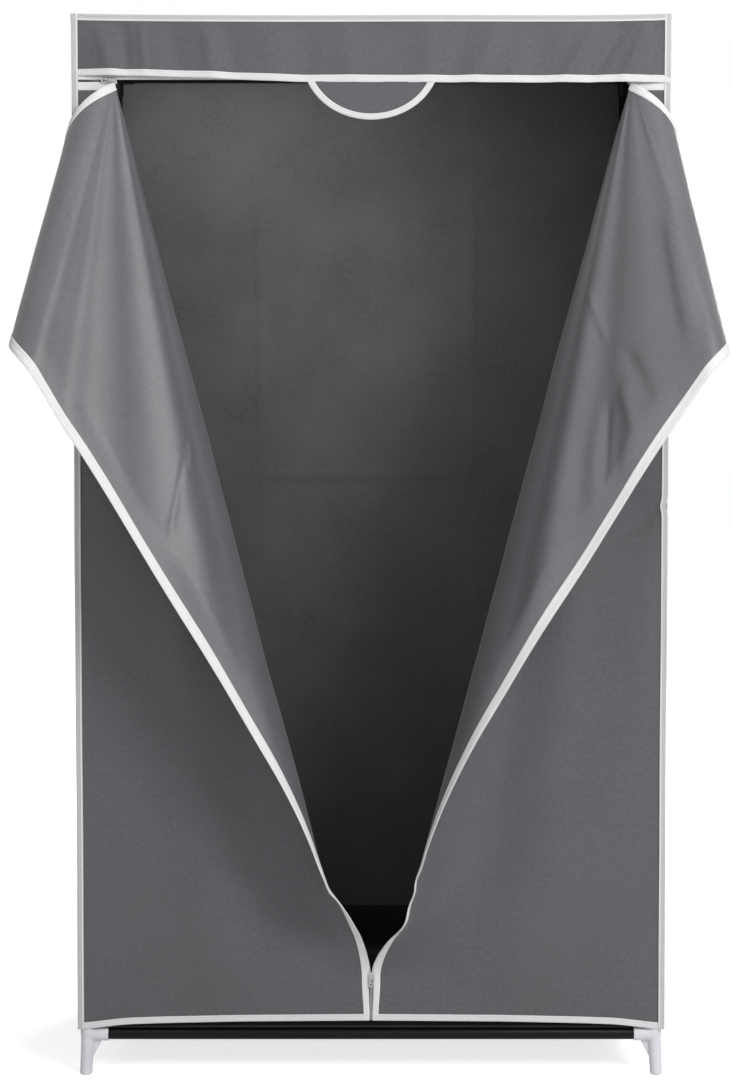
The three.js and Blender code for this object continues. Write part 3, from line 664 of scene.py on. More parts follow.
def hard_material(name, dark, pale, grain, shades, rough, relief, specular=0.5, metallic=0.0, rub=None):
    """A hard surface. One noise, grain (scale, detail, roughness), runs from the dark to the pale
    colour over shades of it, and rub gives the roughness over another part of it. relief is the
    height and strength of its bumps, then the scale of their own noise where they have one."""
    material, tree, shader = new_material(name, rough, specular, metallic)
    places = object_places(tree)
    spots = noise(tree, places, *grain)
    tree.links.new(mixed(tree, ranged(tree, spots, *shades, 0, 1), dark, pale), shader.inputs["Base Color"])
    if rub:
        tree.links.new(ranged(tree, spots, *rub), shader.inputs["Roughness"])
    height, strength, *own_scale = relief
    bumps = noise(tree, places, *own_scale, 2.0) if own_scale else spots
    tree.links.new(bumped(tree, bumps, height, strength), shader.inputs["Normal"])
    return material


def plastic_material(name, dark, pale, specular=0.45):
    return hard_material(
        name, dark, pale, (45.0, 3.0), (0.3, 0.7), 0.42, (0.00005, 0.3, 1400.0), specular,
        rub=(0.3, 0.7, 0.36, 0.5))


grey_cloth = cloth_material("grey_nonwoven", (0.108, 0.104, 0.114), (0.101, 0.097, 0.101), 0.07)
inner_cloth = cloth_material(
    "grey_nonwoven_inside", (0.115, 0.1105, 0.121), (0.106, 0.102, 0.108), 0.08,
    rough=0.44, specular=0.6)
# The back's inner face is a darker copy of the grey cloth: painted shade for the dim inside of the cabinet,
# with random stains and blotches of its own
back_cloth_shaded_inside = cloth_material("grey_nonwoven_back_inside_painted_shade", (0.086, 0.082, 0.086), (0.080, 0.072, 0.070), 0.22)
black_cloth = cloth_material("black_nonwoven", (0.0105, 0.0105, 0.0105), (0.013, 0.0125, 0.012), 0.1, 0.05)
white_tape = tape_material("white_tape", (0.88, 0.87, 0.875))
hem_tape = tape_material("hem_tape", (0.80, 0.79, 0.795))
# The seam tape is a greyer copy of the white binding, darkened with painted shade; its pale line is a
# painted highlight
seam_tape_painted_shade = tape_material("seam_tape", (0.60, 0.59, 0.595), pale_line=0.0032)
lacquer = hard_material(
    "black_lacquer", (0.006, 0.006, 0.006), (0.011, 0.0105, 0.01), (260.0, 4.0, 0.6), (0.35, 0.7),
    0.4, (0.00006, 0.25, 900.0), 0.09, rub=(0.3, 0.75, 0.28, 0.42))
plastic = plastic_material("white_plastic", (0.76, 0.74, 0.795), (0.82, 0.80, 0.85))
dark_plastic = plastic_material("black_plastic", (0.006, 0.006, 0.006), (0.01, 0.01, 0.01), 0.1)
zinc = hard_material(
    "zinc", (0.27, 0.265, 0.27), (0.46, 0.45, 0.455), (700.0, 4.0, 0.65), (0.35, 0.7),
    0.34, (0.00006, 0.4), 0.5, 0.9, rub=(0.3, 0.75, 0.26, 0.5))
coil = hard_material(
    "zip_coil", (0.075, 0.072, 0.076), (0.12, 0.116, 0.12), (1200.0, 2.0), (0.3, 0.7),
    0.5, (0.00005, 0.4), 0.4)


def finish_piece(piece, material, slot, body=None, inner=None):
    """Gives a new piece its material, with another for a cloth's inner face, and its body."""
    piece.data.materials.append(material)
    if inner:
        piece.data.materials.append(inner)
    else:
        piece.data.polygons.foreach_set("material_index", [0] * len(piece.data.polygons))
    if body:
        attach(piece, body)
    return piece


# Tapes

def tape_section(width):
    """Closed section of a tape folded over a cloth's edge, as (inward from the edge, lift)."""
    shares = np.linspace(1, 0, 13)
    round_edge = CLOTH / 2 + TAPE
    over = shares * width
    lift = round_edge + TAPE_PUFF * np.abs(np.sin(TURN * shares))
    lift[0] = CLOTH / 2 + TAPE * 0.5
    turn = np.linspace(0, math.pi, 7)[1:-1]
    over = np.concatenate([over, -round_edge * np.sin(turn), over[::-1]])
    lift = np.concatenate([lift, round_edge * np.cos(turn), -lift[::-1]])
    return over, lift


def run_lengths(line):
    steps = np.linalg.norm(np.diff(line, axis=0), axis=1)
    return np.concatenate([[0], np.cumsum(steps)])


def tape_on(name, surface, line, inward, width, shares=1.0):
    """Binding folded over a cloth's edge. line holds the edge's flat places and inward the
    direction into the cloth at each, or one for all. shares narrows it along the line."""
    over, lift = tape_section(width)
    inward = np.broadcast_to(np.asarray(inward, float), line.shape)
    reach = over * np.broadcast_to(shares, len(line))[:, None]
    flat = line[:, None, :] + inward[:, None, :] * reach[..., None]
    rings = surface(flat[..., 0], flat[..., 1], np.broadcast_to(lift, flat.shape[:2]))
    lengths = np.broadcast_to(run_lengths(line)[:, None], flat.shape[:2])
    across = np.broadcast_to(over - width / 2, flat.shape[:2])
    return swept(name, rings, np.stack([lengths, across], -1))


COIL_PITCH = 1.7
COIL_RADIUS = 0.85
# Keeps the coil's flat places off the tape's row of stitches
COIL_UV_SHIFT = 4


def coil_on(name, surface, line, beyond):
    """Half a zip's coil along a cloth's edge: a bead that swells at each tooth."""
    turns = np.linspace(0, TURN, 7)[:-1]
    swell = np.where(np.arange(len(line)) % 2 == 0, 1.0, 0.62)[:, None]
    over = CLOTH / 2 + TAPE + COIL_RADIUS * 0.7 + COIL_RADIUS * swell * np.cos(turns)
    lift = COIL_RADIUS * swell * np.sin(turns)
    flat = line[:, None, :] + np.asarray(beyond, float) * over[..., None]
    rings = surface(flat[..., 0], flat[..., 1], lift)
    lengths = np.broadcast_to(run_lengths(line)[:, None], lift.shape)
    return swept(name, rings, np.stack([lengths, lift + COIL_UV_SHIFT], -1))


def along_line(start, end, step=5.0):
    start, end = np.array(start, float), np.array(end, float)
    count = max(2, int(np.linalg.norm(end - start) / step))
    return start + (end - start) * np.linspace(0, 1, count)[:, None]


# The front cloth, its corners and their bindings

def hinge(joint_name):
    """A hinge's position and unit axis in the scene, in metres."""
    joint = next(j for j in frame["joints"] if j["name"] == joint_name)
    return Vector(joint["pos_m"]), Vector(joint["axis"]).normalized()


def blend_over(piece, joint_name, out):
    """Bakes a piece's place into its mesh. The hinge's place and a direction out from it, square to the
    hinge's axis and towards its front, are worked out but not used."""
    place, axis = hinge(joint_name)
    out = Vector(out)
    out = (out - axis * out.dot(axis)).normalized()
    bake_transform(piece)
    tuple(place)


def fold_out(joint_name):
    """Forward, tilted so that the plane through the hinge also runs level across the front."""
    _, axis = hinge(joint_name)
    out = axis.cross(Vector((1, 0, 0))).normalized()
    return out if out.y < 0 else -out


def corner_out(fold):
    """Off the flap's plane towards the turned corner."""
    return Vector(-fold.normal * np.array([-fold.side, 1, 1]))


def bend_flap(piece, side_name):
    joint_name = f"flap_{side_name}_open"
    blend_over(piece, joint_name, fold_out(joint_name))


def bend_corner(piece, side_name):
    out = corner_out(folds[side_name])
    blend_over(piece, f"corner_{side_name}_turn", out)


def front_cloth(side_name):
    fold = folds[side_name]
    tops, feet = front_lines(fold)
    x, z = fan(tops, feet, 176)
    piece = sheet_on(f"front_cloth_{side_name}", fold.surface, x, z)
    finish_piece(piece, grey_cloth, "grey_fabric", inner=inner_cloth)
    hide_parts(f"cover_front_{side_name}", f"cover_roll_{side_name}", f"flap_{side_name}")
    flat_area(x, z)
    bend_flap(piece, side_name)


def corner_cloth(side_name):
    fold = folds[side_name]
    near, zip_low = corner_line(fold)
    shares = np.linspace(0, 1, 64)[:, None]
    feet = np.array(zip_low) + shares * (np.array([-ZIP_HALF_GAP, PANEL_TOP]) - np.array(zip_low))
    tops = np.array(near) + (feet - np.array(near)) * 0.004
    x, z = fan(tops, feet, 64)
    piece = sheet_on(f"corner_cloth_{side_name}", fold.surface, x, z)
    finish_piece(piece, grey_cloth, "grey_fabric", inner=inner_cloth)
    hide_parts(f"flap_corner_roll_{side_name}", f"flap_corner_{side_name}")
    flat_area(x, z)
    bend_corner(piece, side_name)


# Where the zip is shut its tapes lie a little apart, and they narrow towards the hem
SHUT_INSET = 1.7
SHUT_WIDTHS = (0.73, 0.83)
SHUT_FADE = 6


def zip_tape_line(hem_end, zip_low):
    """The line of the upright zip's binding, and its share of the full width along it."""
    line = along_line(hem_end, zip_low)
    z = line[:, 1]
    parted = smoothstep(z, HEM_MIDDLE, SLIDER_FOOT)
    opened = smoothstep(z, SLIDER_TOP - SHUT_FADE, SLIDER_TOP + SHUT_FADE)
    line[:, 0] -= SHUT_INSET * parted * (1 - opened)
    narrow, wide = SHUT_WIDTHS
    shut_share = narrow + (wide - narrow) * parted
    return line, shut_share + (1 - shut_share) * opened


def front_tapes(side_name):
    fold = folds[side_name]
    near, zip_low = corner_line(fold)
    hem_x = np.append(np.arange(-HALF_WIDTH, -ZIP_HALF_GAP, 5.0), -ZIP_HALF_GAP)
    hem = np.stack([hem_x, hem_line(hem_x)], 1)
    hem_end = (-ZIP_HALF_GAP, HEM_MIDDLE)
    corner = (-ZIP_HALF_GAP, PANEL_TOP)
    side_top = (-HALF_WIDTH, PANEL_TOP)
    surface = fold.surface
    zip_line, zip_shares = zip_tape_line(hem_end, zip_low)
    kept = [
        tape_on("front_hem_tape", surface, hem, (0, 1), HEM_TAPE_WIDTH),
        tape_on("zip_edge_tape", surface, zip_line, (-1, 0), ZIP_TAPE_WIDTH, zip_shares),
        tape_on("top_edge_tape", surface, along_line(side_top, near, 2.0), (0, -1), ZIP_TAPE_WIDTH),
    ]
    turned = [
        tape_on("corner_edge_tape", surface, along_line(zip_low, corner, 3.0), (-1, 0), ZIP_TAPE_WIDTH),
        tape_on("corner_top_tape", surface, along_line(near, corner, 2.0), (0, -1), ZIP_TAPE_WIDTH),
    ]
    kept.append(coil_on("zip_edge_coil", surface, along_line(hem_end, zip_low, COIL_PITCH / 2), (1, 0)))
    turned.append(coil_on("corner_edge_coil", surface, along_line(zip_low, corner, COIL_PITCH / 2), (1, 0)))
    for pieces, bend in ((kept, bend_flap), (turned, bend_corner)):
        for piece in pieces:
            material = hem_tape if piece.name.startswith("front_hem") else white_tape
            piece.name = f"{piece.name}_{side_name}"
            finish_piece(piece, material, "zip_tape")
            bend(piece, side_name)


# Header strip and its tab

HEADER_STAND_OFF = 8.5
HEADER_SIDE = 55
HEADER_TOP = HEIGHT - FABRIC - 0.3
# Soft folds of the header: x at the top and at the hem, half width, depth towards the viewer
HEADER_FOLDS = [
    (-412, -385, 12, 2.6), (-372, -362, 9, -3.0), (-344, -336, 5, 2.4), (-300, -285, 18, -2.4),
    (-248, -236, 12, 3.2), (-215, -200, 14, -2.2), (-150, -146, 22, 2.2), (-92, -98, 20, -2.0),
    (-40, -30, 18, 2.0), (28, 36, 26, -1.6), (92, 80, 15, 2.0), (150, 118, 13, -2.2),
    (196, 150, 12, 3.0), (262, 240, 24, -2.4), (345, 282, 12, 4.0), (385, 325, 11, -4.2),
    (418, 372, 9, 4.0), (440, 410, 7, -2.4),
]
HEADER_GAP = 1.8
FOLD_DEPTH = 1.5
HEADER_RIPPLE = 0.8
# The folds are held flat near the roof's tape, between these shares of the strip's drop, and
# swell over this part of half a wave
HELD_NEAR_TOP = (0.03, 0.18)
HELD_WAVE = (0.04, 0.8)
# The header's hem isn't level: heights off its mean along its width
HEM_PLACES = [-446, -410, -280, -120, 0, 290, 360, 446]
HEM_HEIGHTS = [3.2, 3.0, 0.0, -7.2, -7.6, -8.0, -7.2, -6.8]


def header_sway(x):
    blur = np.linspace(-40, 40, 9)
    return np.mean([np.interp(x + b, HEM_PLACES, HEM_HEIGHTS) for b in blur], axis=0)


def header_surface(x, z, lift):
    """The header strip hangs from the roof's front edge and stands off at its hem."""
    x, z = paired(x, z)
    drop = np.clip((HEADER_TOP - z) / (HEADER_TOP - TAB_TOP), 0, 1)
    inward = smoothstep(HALF_WIDTH - np.abs(x), 0, HEADER_SIDE)
    wave = np.zeros(x.shape)
    for top_x, hem_x, width, depth in HEADER_FOLDS:
        wave += FOLD_DEPTH * depth * bump(x, top_x + (hem_x - top_x) * drop, width)
    wave += HEADER_RIPPLE * ripples(x, z, 5, 160, 45, 5)
    first, run = HELD_WAVE
    held = np.sin(math.pi * np.clip(first + run * drop, 0, 1)) * smoothstep(drop, *HELD_NEAR_TOP)
    out = inward * (HEADER_STAND_OFF * drop + wave * held)
    y = FRONT - HEADER_GAP - out - np.asarray(lift)
    return np.stack([x, y, z + drop * header_sway(x)], -1)


def header_cloth():
    x = np.linspace(-HALF_WIDTH, HALF_WIDTH, 223)
    piece = even_sheet("header_cloth", header_surface, x, np.linspace(HEADER_TOP, TAB_TOP, 25))
    finish_piece(piece, grey_cloth, "grey_fabric", "frame")
    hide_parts("header_flap")
    hem = along_line((-HALF_WIDTH, TAB_TOP), (HALF_WIDTH, TAB_TOP))
    tape = tape_on("header_hem_tape", header_surface, hem, (0, 1), HEM_TAPE_WIDTH)
    finish_piece(tape, hem_tape, "zip_tape", "frame")


def tab_outline(count):
    """The tab's round edge, as flat places from one end of its seam to the other."""
    drop = TAB_TOP - TAB_FOOT
    radius = (drop ** 2 + TAB_HALF ** 2) / (2 * drop)
    sweep = math.asin(TAB_HALF / radius)
    angle = np.linspace(-sweep, sweep, count)
    centre_z = TAB_TOP + radius - drop
    return np.stack([radius * np.sin(angle), centre_z - radius * np.cos(angle)], 1)


def tab_surface(x, z, lift):
    x, z = paired(x, z)
    curl = 1.2 * ((TAB_TOP - z) / (TAB_TOP - TAB_FOOT)) ** 2 * np.sin(x / 60 + 0.6)
    y = FRONT - HEADER_GAP - HEADER_STAND_OFF - curl - np.asarray(lift)
    rise = np.clip((z - TAB_FOOT) / (TAB_TOP - TAB_FOOT), 0, 1)
    return np.stack([x, y, z + rise * header_sway(x)], -1)


def header_tab():
    count = 65
    edge = tab_outline(count)
    tops_x = np.linspace(-TAB_HALF + 0.5, TAB_HALF - 0.5, count)
    tops = np.stack([tops_x, np.full(count, TAB_TOP)], 1)
    feet = edge.copy()
    feet[:, 1] = np.minimum(feet[:, 1], TAB_TOP - 0.4)
    x, z = fan(tops, feet, 22)
    cloth = sheet_on("tab_cloth", tab_surface, x, z)
    finish_piece(cloth, grey_cloth, "grey_fabric", "tab")
    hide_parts("header_tab")
    inward = np.array([0, TAB_TOP + 40]) - edge
    inward /= np.linalg.norm(inward, axis=1, keepdims=True)
    tape = tape_on("tab_tape", tab_surface, edge, inward, HEM_TAPE_WIDTH)
    finish_piece(tape, hem_tape, "zip_tape", "tab")
    flat_area(x, z)


# Flat walls of the cover. Each has a surface over its own flat places.

# Packing creases of the back and of each side: start, end, half width and height
BACK_CREASES = [
    ((-190, 1590), (-182, 700), 3.4, 3.0), ((172, 1590), (180, 300), 3.2, 2.6),
    ((-330, 905), (340, 915), 3.2, 2.2),
]
SIDE_CREASES = [((-205, 912), (205, 905), 3.2, 2.2), ((8, 1580), (2, 80), 3.6, -1.8)]
# How far in from its sides, its top and its hem a wall is held flat
SIDE_RIM = 40
TOP_RIM = 50
HEM_RIM = 60


def inside_wall(off_side, z):
    """From 0 on a wall's sewn edges to 1 inside it."""
    upright = smoothstep(HEIGHT - z, 0, TOP_RIM) * smoothstep(z - SIDE_HEM, 0, HEM_RIM)
    return smoothstep(off_side, 0, SIDE_RIM) * upright


def back_surface(x, z, lift):
    x, z = paired(x, z)
    bow = 2.4 + 2.2 * ripples(x, z, 3, 520, 120, 7) + creased(x, z, BACK_CREASES)
    inward = inside_wall(HALF_WIDTH - np.abs(x), z) * bow
    y = HALF_DEPTH - FABRIC / 2 - inward + np.asarray(lift)
    return np.stack([x, y, z], -1)


def side_surface(side):
    def surface(y, z, lift):
        y, z = paired(y, z)
        bow = 2.2 + 1.8 * ripples(y, z, 8 + side, 430, 120, 6) + creased(y, z, SIDE_CREASES)
        inward = inside_wall(HALF_DEPTH - np.abs(y), z) * bow
        x = HALF_WIDTH - FABRIC / 2 - inward + np.asarray(lift)
        return np.stack([side * x, y, z], -1)
    return surface


# From the top ring's tubes to the hanging rail under the roof, and the roof cloth's depth below
# the cabinet's height
TUBE_TO_RAIL = 211.9
ROOF_DEPTH = 0.2


def roof_edge_drop(x):
    """The roof's edges sag a little between the corner joints."""
    return 2.6 * (1 - np.abs(x / HALF_WIDTH) ** 6)


def roof_surface(x, y, lift):
    x, y = paired(x, y)
    inside = smoothstep(HALF_WIDTH - np.abs(x), 0, SIDE_RIM)
    inside = inside * smoothstep(HALF_DEPTH - np.abs(y), 0, SIDE_RIM)
    between = np.abs(np.sin(math.pi * y / TUBE_TO_RAIL)) ** 0.8
    sag = inside * (4.5 * between + 0.8 * ripples(x, y, 21, 380, 120, 6))
    z = HEIGHT - ROOF_DEPTH - roof_edge_drop(x) - sag + np.asarray(lift)
    return np.stack([x, y, z], -1)


def wall(name, surface, u_range, v_range, node, inner=inner_cloth):
    wide, tall = u_range[1] - u_range[0], v_range[1] - v_range[0]
    u = np.linspace(*u_range, int(wide / CELL) + 1)
    v = np.linspace(*v_range, int(tall / CELL) + 1)
    piece = even_sheet(name, surface, u, v)
    finish_piece(piece, grey_cloth, "grey_fabric", "frame", inner)
    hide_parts(node)


def wall_hem(name, surface, half):
    """The binding along a wall's foot, from minus half to half."""
    line = along_line((-half, SIDE_HEM), (half, SIDE_HEM))
    tape = tape_on(name, surface, line, (0, 1), HEM_TAPE_WIDTH)
    finish_piece(tape, hem_tape, "zip_tape", "frame")


# How far the roof and its side tapes lap over the front
ROOF_LAP = 1.8


def walls():
    top = HEIGHT - FABRIC
    full = (-HALF_WIDTH, HALF_WIDTH)
    deep = (-HALF_DEPTH + CLOTH, HALF_DEPTH - CLOTH)
    # The back wall's inner face takes the cloth darkened with painted shade
    wall("back_cloth_shaded_inside", back_surface, full, (SIDE_HEM, top), "cover_back", back_cloth_shaded_inside)
    for side_name, side in SIDES:
        node = f"cover_side_{side_name}"
        wall(f"side_cloth_{side_name}", side_surface(side), deep, (SIDE_HEM, top), node)
    wall("roof_cloth", roof_surface, full, (-HALF_DEPTH - ROOF_LAP, HALF_DEPTH), "cover_roof")
    wall_hem("back_hem_tape", back_surface, HALF_WIDTH)
    for side_name, side in SIDES:
        wall_hem(f"side_hem_tape_{side_name}", side_surface(side), HALF_DEPTH)


def header_band():
    """The fixed strip behind the header, whose lower edge carries the upper zip tape."""
    def surface(x, z, lift):
        x, z = paired(x, z)
        y = FRONT - np.asarray(lift)
        return np.stack([x, np.broadcast_to(y, x.shape), z], -1)
    x = np.linspace(-HALF_WIDTH, HALF_WIDTH, 90)
    piece = even_sheet("header_band_cloth", surface, x, np.linspace(BAND_FOOT, HEADER_TOP, 12))
    finish_piece(piece, grey_cloth, "grey_fabric", "frame")
    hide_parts("header_band")
    foot = along_line((-HALF_WIDTH, BAND_FOOT), (HALF_WIDTH, BAND_FOOT))
    tape = tape_on("header_band_tape", surface, foot, (0, 1), ZIP_TAPE_WIDTH)
    finish_piece(tape, white_tape, "zip_tape", "frame")


# The floor cloth's rear edge leans in, clear of the back panel, which bows inwards
UPTURN_LEAN = 9.0


def floor_cloth():
    """Black cloth over the bottom tubes, turned up at the rear."""
    lowest, highest = span("floor_panel")
    depth = highest[1] - lowest[1]
    rise = highest[2] - lowest[2]
    bend = 12

    def surface(x, run, lift):
        x, run = paired(x, run)
        lift = np.asarray(lift)
        flat_end = depth - bend
        turn = np.clip((run - flat_end) / bend, 0, math.pi / 2)
        rest = run - flat_end - bend * turn
        low_rest = np.minimum(rest, 0)
        up_rest = np.maximum(rest, 0)
        lean = UPTURN_LEAN * smoothstep(up_rest, 0, rise - bend)
        y = lowest[1] + flat_end + low_rest + bend * np.sin(turn) - np.sin(turn) * lift - lean
        z = lowest[2] + 0.8 + bend * (1 - np.cos(turn)) + up_rest + np.cos(turn) * lift
        sag = smoothstep(run, 0, 40) * smoothstep(depth - run, 0, 60) * np.cos(x / highest[0] * math.pi / 2)
        soft = ripples(x, run, 17, 300, 80, 6)
        z = z - np.where(run < flat_end, sag * (4 + 1.6 * soft), 0)
        return np.stack([x, y, z], -1)
    x = np.linspace(lowest[0], highest[0], 106)
    run = np.linspace(0, depth - bend + bend * math.pi / 2 + rise - bend, 68)
    piece = even_sheet("floor_cloth", surface, x, run)
    finish_piece(piece, black_cloth, "black_fabric", "frame")
    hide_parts("floor_panel")


# Seam tapes along the cabinet's edges

SEAM_THICKNESS = 1.9
SEAM_PUFF = 0.45


def seam_section():
    """Closed section of a bound seam laid flat: two puffs with the stitch row between."""
    section = []
    for share in np.linspace(0, 1, 13):
        puff = SEAM_PUFF * abs(math.sin(TURN * share))
        section.append((share * SEAM_TAPE_WIDTH, SEAM_THICKNESS - SEAM_PUFF + puff))
    section += [(SEAM_TAPE_WIDTH, 0), (0, 0)]
    return np.array(section)


def seam_tape(name, line, across, out):
    """A bound seam along a line of points, from the line across by its width, standing out."""
    section = seam_section()
    over, lift = section[None, :, :1], section[None, :, 1:]
    rings = line[:, None] + np.array(across, float) * over + np.array(out, float) * lift
    lengths = np.broadcast_to(run_lengths(line)[:, None], rings.shape[:2])
    middle = np.broadcast_to(section[:, 0] - SEAM_TAPE_WIDTH / 2, rings.shape[:2])
    piece = swept(name, rings, np.stack([lengths, middle], -1))
    # Seam tapes take the binding greyed with painted shade
    finish_piece(piece, seam_tape_painted_shade, "zip_tape", "frame")


# Where the right front seam is pinched in
PINCH_HEIGHT = 868
PINCH_DEPTH = 2.6
# The front corner seams lie over the header's ends
HEADER_LAP = 2.2


SEAM_STEP = 6


def seam_steps(start, end):
    return np.linspace(start, end, int((end - start) / SEAM_STEP) + 2)


def seam_tapes():
    for side_name, side in SIDES:
        for end_name, end in ENDS:
            foot = HEM_MIDDLE - HEM_CORNER_FALL if end < 0 else SIDE_HEM
            z = seam_steps(foot, HEIGHT)
            drift = 0.5 * np.sin(z / 130 + side) + 0.25 * np.sin(z / 47)
            pinch = PINCH_DEPTH * bump(z, PINCH_HEIGHT, 8) if (side, end) == (1, -1) else 0
            x = side * (HALF_WIDTH + 0.6 - pinch) + 0.5 * drift
            over_header = HEADER_LAP * smoothstep(z, TAB_TOP, TAB_TOP + 5) if end < 0 else 0 * z
            y = end * (HALF_DEPTH - 0.2 + over_header)
            line = np.stack([x, y, z], 1)
            seam_tape(f"corner_tape_{end_name}_{side_name}", line, (-side, 0, 0), (0, end, 0))
    x = seam_steps(-HALF_WIDTH - 0.6, HALF_WIDTH + 0.6)
    for end_name, end in ENDS:
        y = end * (HALF_DEPTH + (SEAM_THICKNESS if end < 0 else 0) - 0.2)
        z = HEIGHT + 0.7 - roof_edge_drop(x) + 0.25 * np.sin(x / 70)
        line = np.stack([x, np.full_like(x, y), z], 1)
        name = "roof_seam_tape" if end < 0 else "roof_seam_tape_rear"
        seam_tape(name, line, (0, 0, -1), (0, end, 0))
    y = seam_steps(-HALF_DEPTH - ROOF_LAP, HALF_DEPTH)
    for side_name, side in SIDES:
        line = np.stack([np.full_like(y, side * (HALF_WIDTH - 0.2)), y, np.full_like(y, HEIGHT + 0.3)], 1)
        seam_tape(f"roof_seam_tape_{side_name}", line, (0, 0, -1), (side, 0, 0))


# Steel tubes

ROUND = 48


def ring(centre, u, v, radius):
    angle = np.arange(ROUND) * TURN / ROUND
    return centre + radius * (np.cos(angle)[:, None] * u + np.sin(angle)[:, None] * v)


def lathe(name, origin, along, profile):
    """A closed turned piece: profile is (radius, distance) round a closed loop."""
    along = np.asarray(along, float) / np.linalg.norm(along)
    side = np.array([0, 0, 1.0]) if abs(along[2]) < 0.9 else np.array([1.0, 0, 0])
    u = np.cross(along, side)
    u /= np.linalg.norm(u)
    v = np.cross(along, u)
    rings = np.array([ring(origin + along * d, u, v, r) for r, d in profile])
    number = np.arange(len(profile) * ROUND).reshape(-1, ROUND)
    following = np.roll(number, -1, axis=0)
    faces = np.stack([number, following, np.roll(following, -1, 1), np.roll(number, -1, 1)], 2)
    return outward(mesh_object(name, rings.reshape(-1, 3), faces.reshape(-1, 4).tolist()))


def mirrored(half, length):
    """The other end of a lathe profile that is the same from both ends."""
    return [(radius, length - distance) for radius, distance in half[::-1]]


TUBE_WALL = 1.0


def tube_piece(node):
    """A steel tube in a node's place, with its drawn end edges rounded."""
    lowest, highest = span(node)
    size = highest - lowest
    way = int(np.argmax(size))
    outer = min(size) / 2
    inner, length, lip = outer - TUBE_WALL, size[way], 0.35
    along = np.eye(3)[way]
    origin = (lowest + highest) / 2 - along * length / 2
    half = [(inner, 0), (outer - lip, 0), (outer - lip * 0.3, lip * 0.3), (outer, lip)]
    profile = half + mirrored(half, length)
    piece = lathe(f"tube_{node}", origin, along, profile)
    finish_piece(piece, lacquer, "black_tube", "frame")
    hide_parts(node)


def tubes():
    for node in frame["nodes"]:
        if "tube" in node or node.startswith(("post_lower", "post_upper")) or node == "hanging_rail":
            tube_piece(node)


# Moulded joints

SOCKET_RADIUS = 11.3
BORE_RADIUS = 9.8
SOCKET_REACH = 32
SOCKET_SEAT = 12
LEG_HEIGHT_AXIS = 62.5
TUBE_RADIUS = 9.5
FOOT_RADIUS = 9.4
FOOT_ROUND = 3
LEG_CANT = 3
FIN_REACH = 22
FIN_DROP = 27
FIN_THICKNESS = 3.4
TEE_WEB = 1.5
BORE_BEYOND = SOCKET_REACH + 5
JOINT_ROUND = 40
VOXEL = 0.9


def solid_from(build):
    mesh = bpy.data.meshes.new("work")
    rework(mesh, build, face_out)
    return add_object("work", mesh)


def arm_part(direction, radius, start, end):
    """A closed cylinder along a direction."""
    direction = Vector(direction)
    turned = direction.to_track_quat("Z", "Y").to_matrix().to_4x4()
    centre = Matrix.Translation(direction * (start + end) / 2)
    return solid_from(lambda sculpt: bmesh.ops.create_cone(
        sculpt, cap_ends=True, segments=JOINT_ROUND, radius1=radius, radius2=radius,
        depth=end - start, matrix=centre @ turned))


def apply_modifier(piece, kind, **values):
    modifier = piece.modifiers.new(kind, kind)
    for name, value in values.items():
        setattr(modifier, name, value)
    bpy.context.view_layer.objects.active = piece
    bpy.ops.object.modifier_apply(modifier=modifier.name)


def boolean(piece, other, operation):
    apply_modifier(piece, "BOOLEAN", object=other, operation=operation, solver="EXACT")
    bpy.data.objects.remove(other)


def moulded(parts, cuts):
    """Joins parts with softly filleted inner corners, as a moulding has, then cuts the bores."""
    body = parts[0]
    for part in parts[1:]:
        boolean(body, part, "UNION")
    apply_modifier(body, "REMESH", mode="VOXEL", voxel_size=VOXEL)
    apply_modifier(body, "SMOOTH", iterations=6, factor=0.5)
    for cutter in cuts:
        boolean(body, cutter, "DIFFERENCE")
    return body


def leg_part(cant_x, cant_y):
    """The round leg under a foot joint, from the joint's centre to the floor."""
    def build(sculpt):
        profile = [(FOOT_RADIUS - FOOT_ROUND, -LEG_HEIGHT_AXIS)]
        for turn in np.linspace(0, math.pi / 2, 5)[1:]:
            profile.append((
                FOOT_RADIUS - FOOT_ROUND + FOOT_ROUND * math.sin(turn),
                -LEG_HEIGHT_AXIS + FOOT_ROUND * (1 - math.cos(turn))))
        profile += [(TUBE_RADIUS + 0.2, -28), (TUBE_RADIUS + 0.8, -8), (TUBE_RADIUS + 0.8, 0)]
        rings = []
        for radius, z in profile:
            rings.append([
                sculpt.verts.new((radius * math.cos(t), radius * math.sin(t), z))
                for t in np.arange(JOINT_ROUND) * TURN / JOINT_ROUND])
        for low_ring, high_ring in zip(rings, rings[1:]):
            for k in range(JOINT_ROUND):
                n = (k + 1) % JOINT_ROUND
                sculpt.faces.new((low_ring[k], low_ring[n], high_ring[n], high_ring[k]))
        sculpt.faces.new(rings[0][::-1])
        sculpt.faces.new(rings[-1])
        for vertex in sculpt.verts:
            vertex.co.x -= cant_x * vertex.co.z / LEG_HEIGHT_AXIS
            vertex.co.y -= cant_y * vertex.co.z / LEG_HEIGHT_AXIS
    return solid_from(build)


def fin_part(direction):
    """A web between an arm and the leg."""
    def build(sculpt):
        low_z = -SOCKET_RADIUS - FIN_DROP
        outline = [
            (0, 0), (FIN_REACH, 0), (FIN_REACH, -TUBE_RADIUS), (FOOT_RADIUS - LEG_CANT, low_z),
            (0, low_z)]
        turned = math.atan2(direction[1], direction[0])
        sides = []
        for offset in (-FIN_THICKNESS / 2, FIN_THICKNESS / 2):
            sides.append([
                sculpt.verts.new((
                    r * math.cos(turned) - offset * math.sin(turned),
                    r * math.sin(turned) + offset * math.cos(turned), z))
                for r, z in outline])
        sculpt.faces.new(sides[0])
        sculpt.faces.new(sides[1][::-1])
        for k in range(len(outline)):
            n = (k + 1) % len(outline)
            sculpt.faces.new((sides[0][k], sides[0][n], sides[1][n], sides[1][k]))
    return solid_from(build)


def ball_part(radius):
    return solid_from(lambda sculpt: bmesh.ops.create_uvsphere(
        sculpt, u_segments=JOINT_ROUND, v_segments=20, radius=radius))


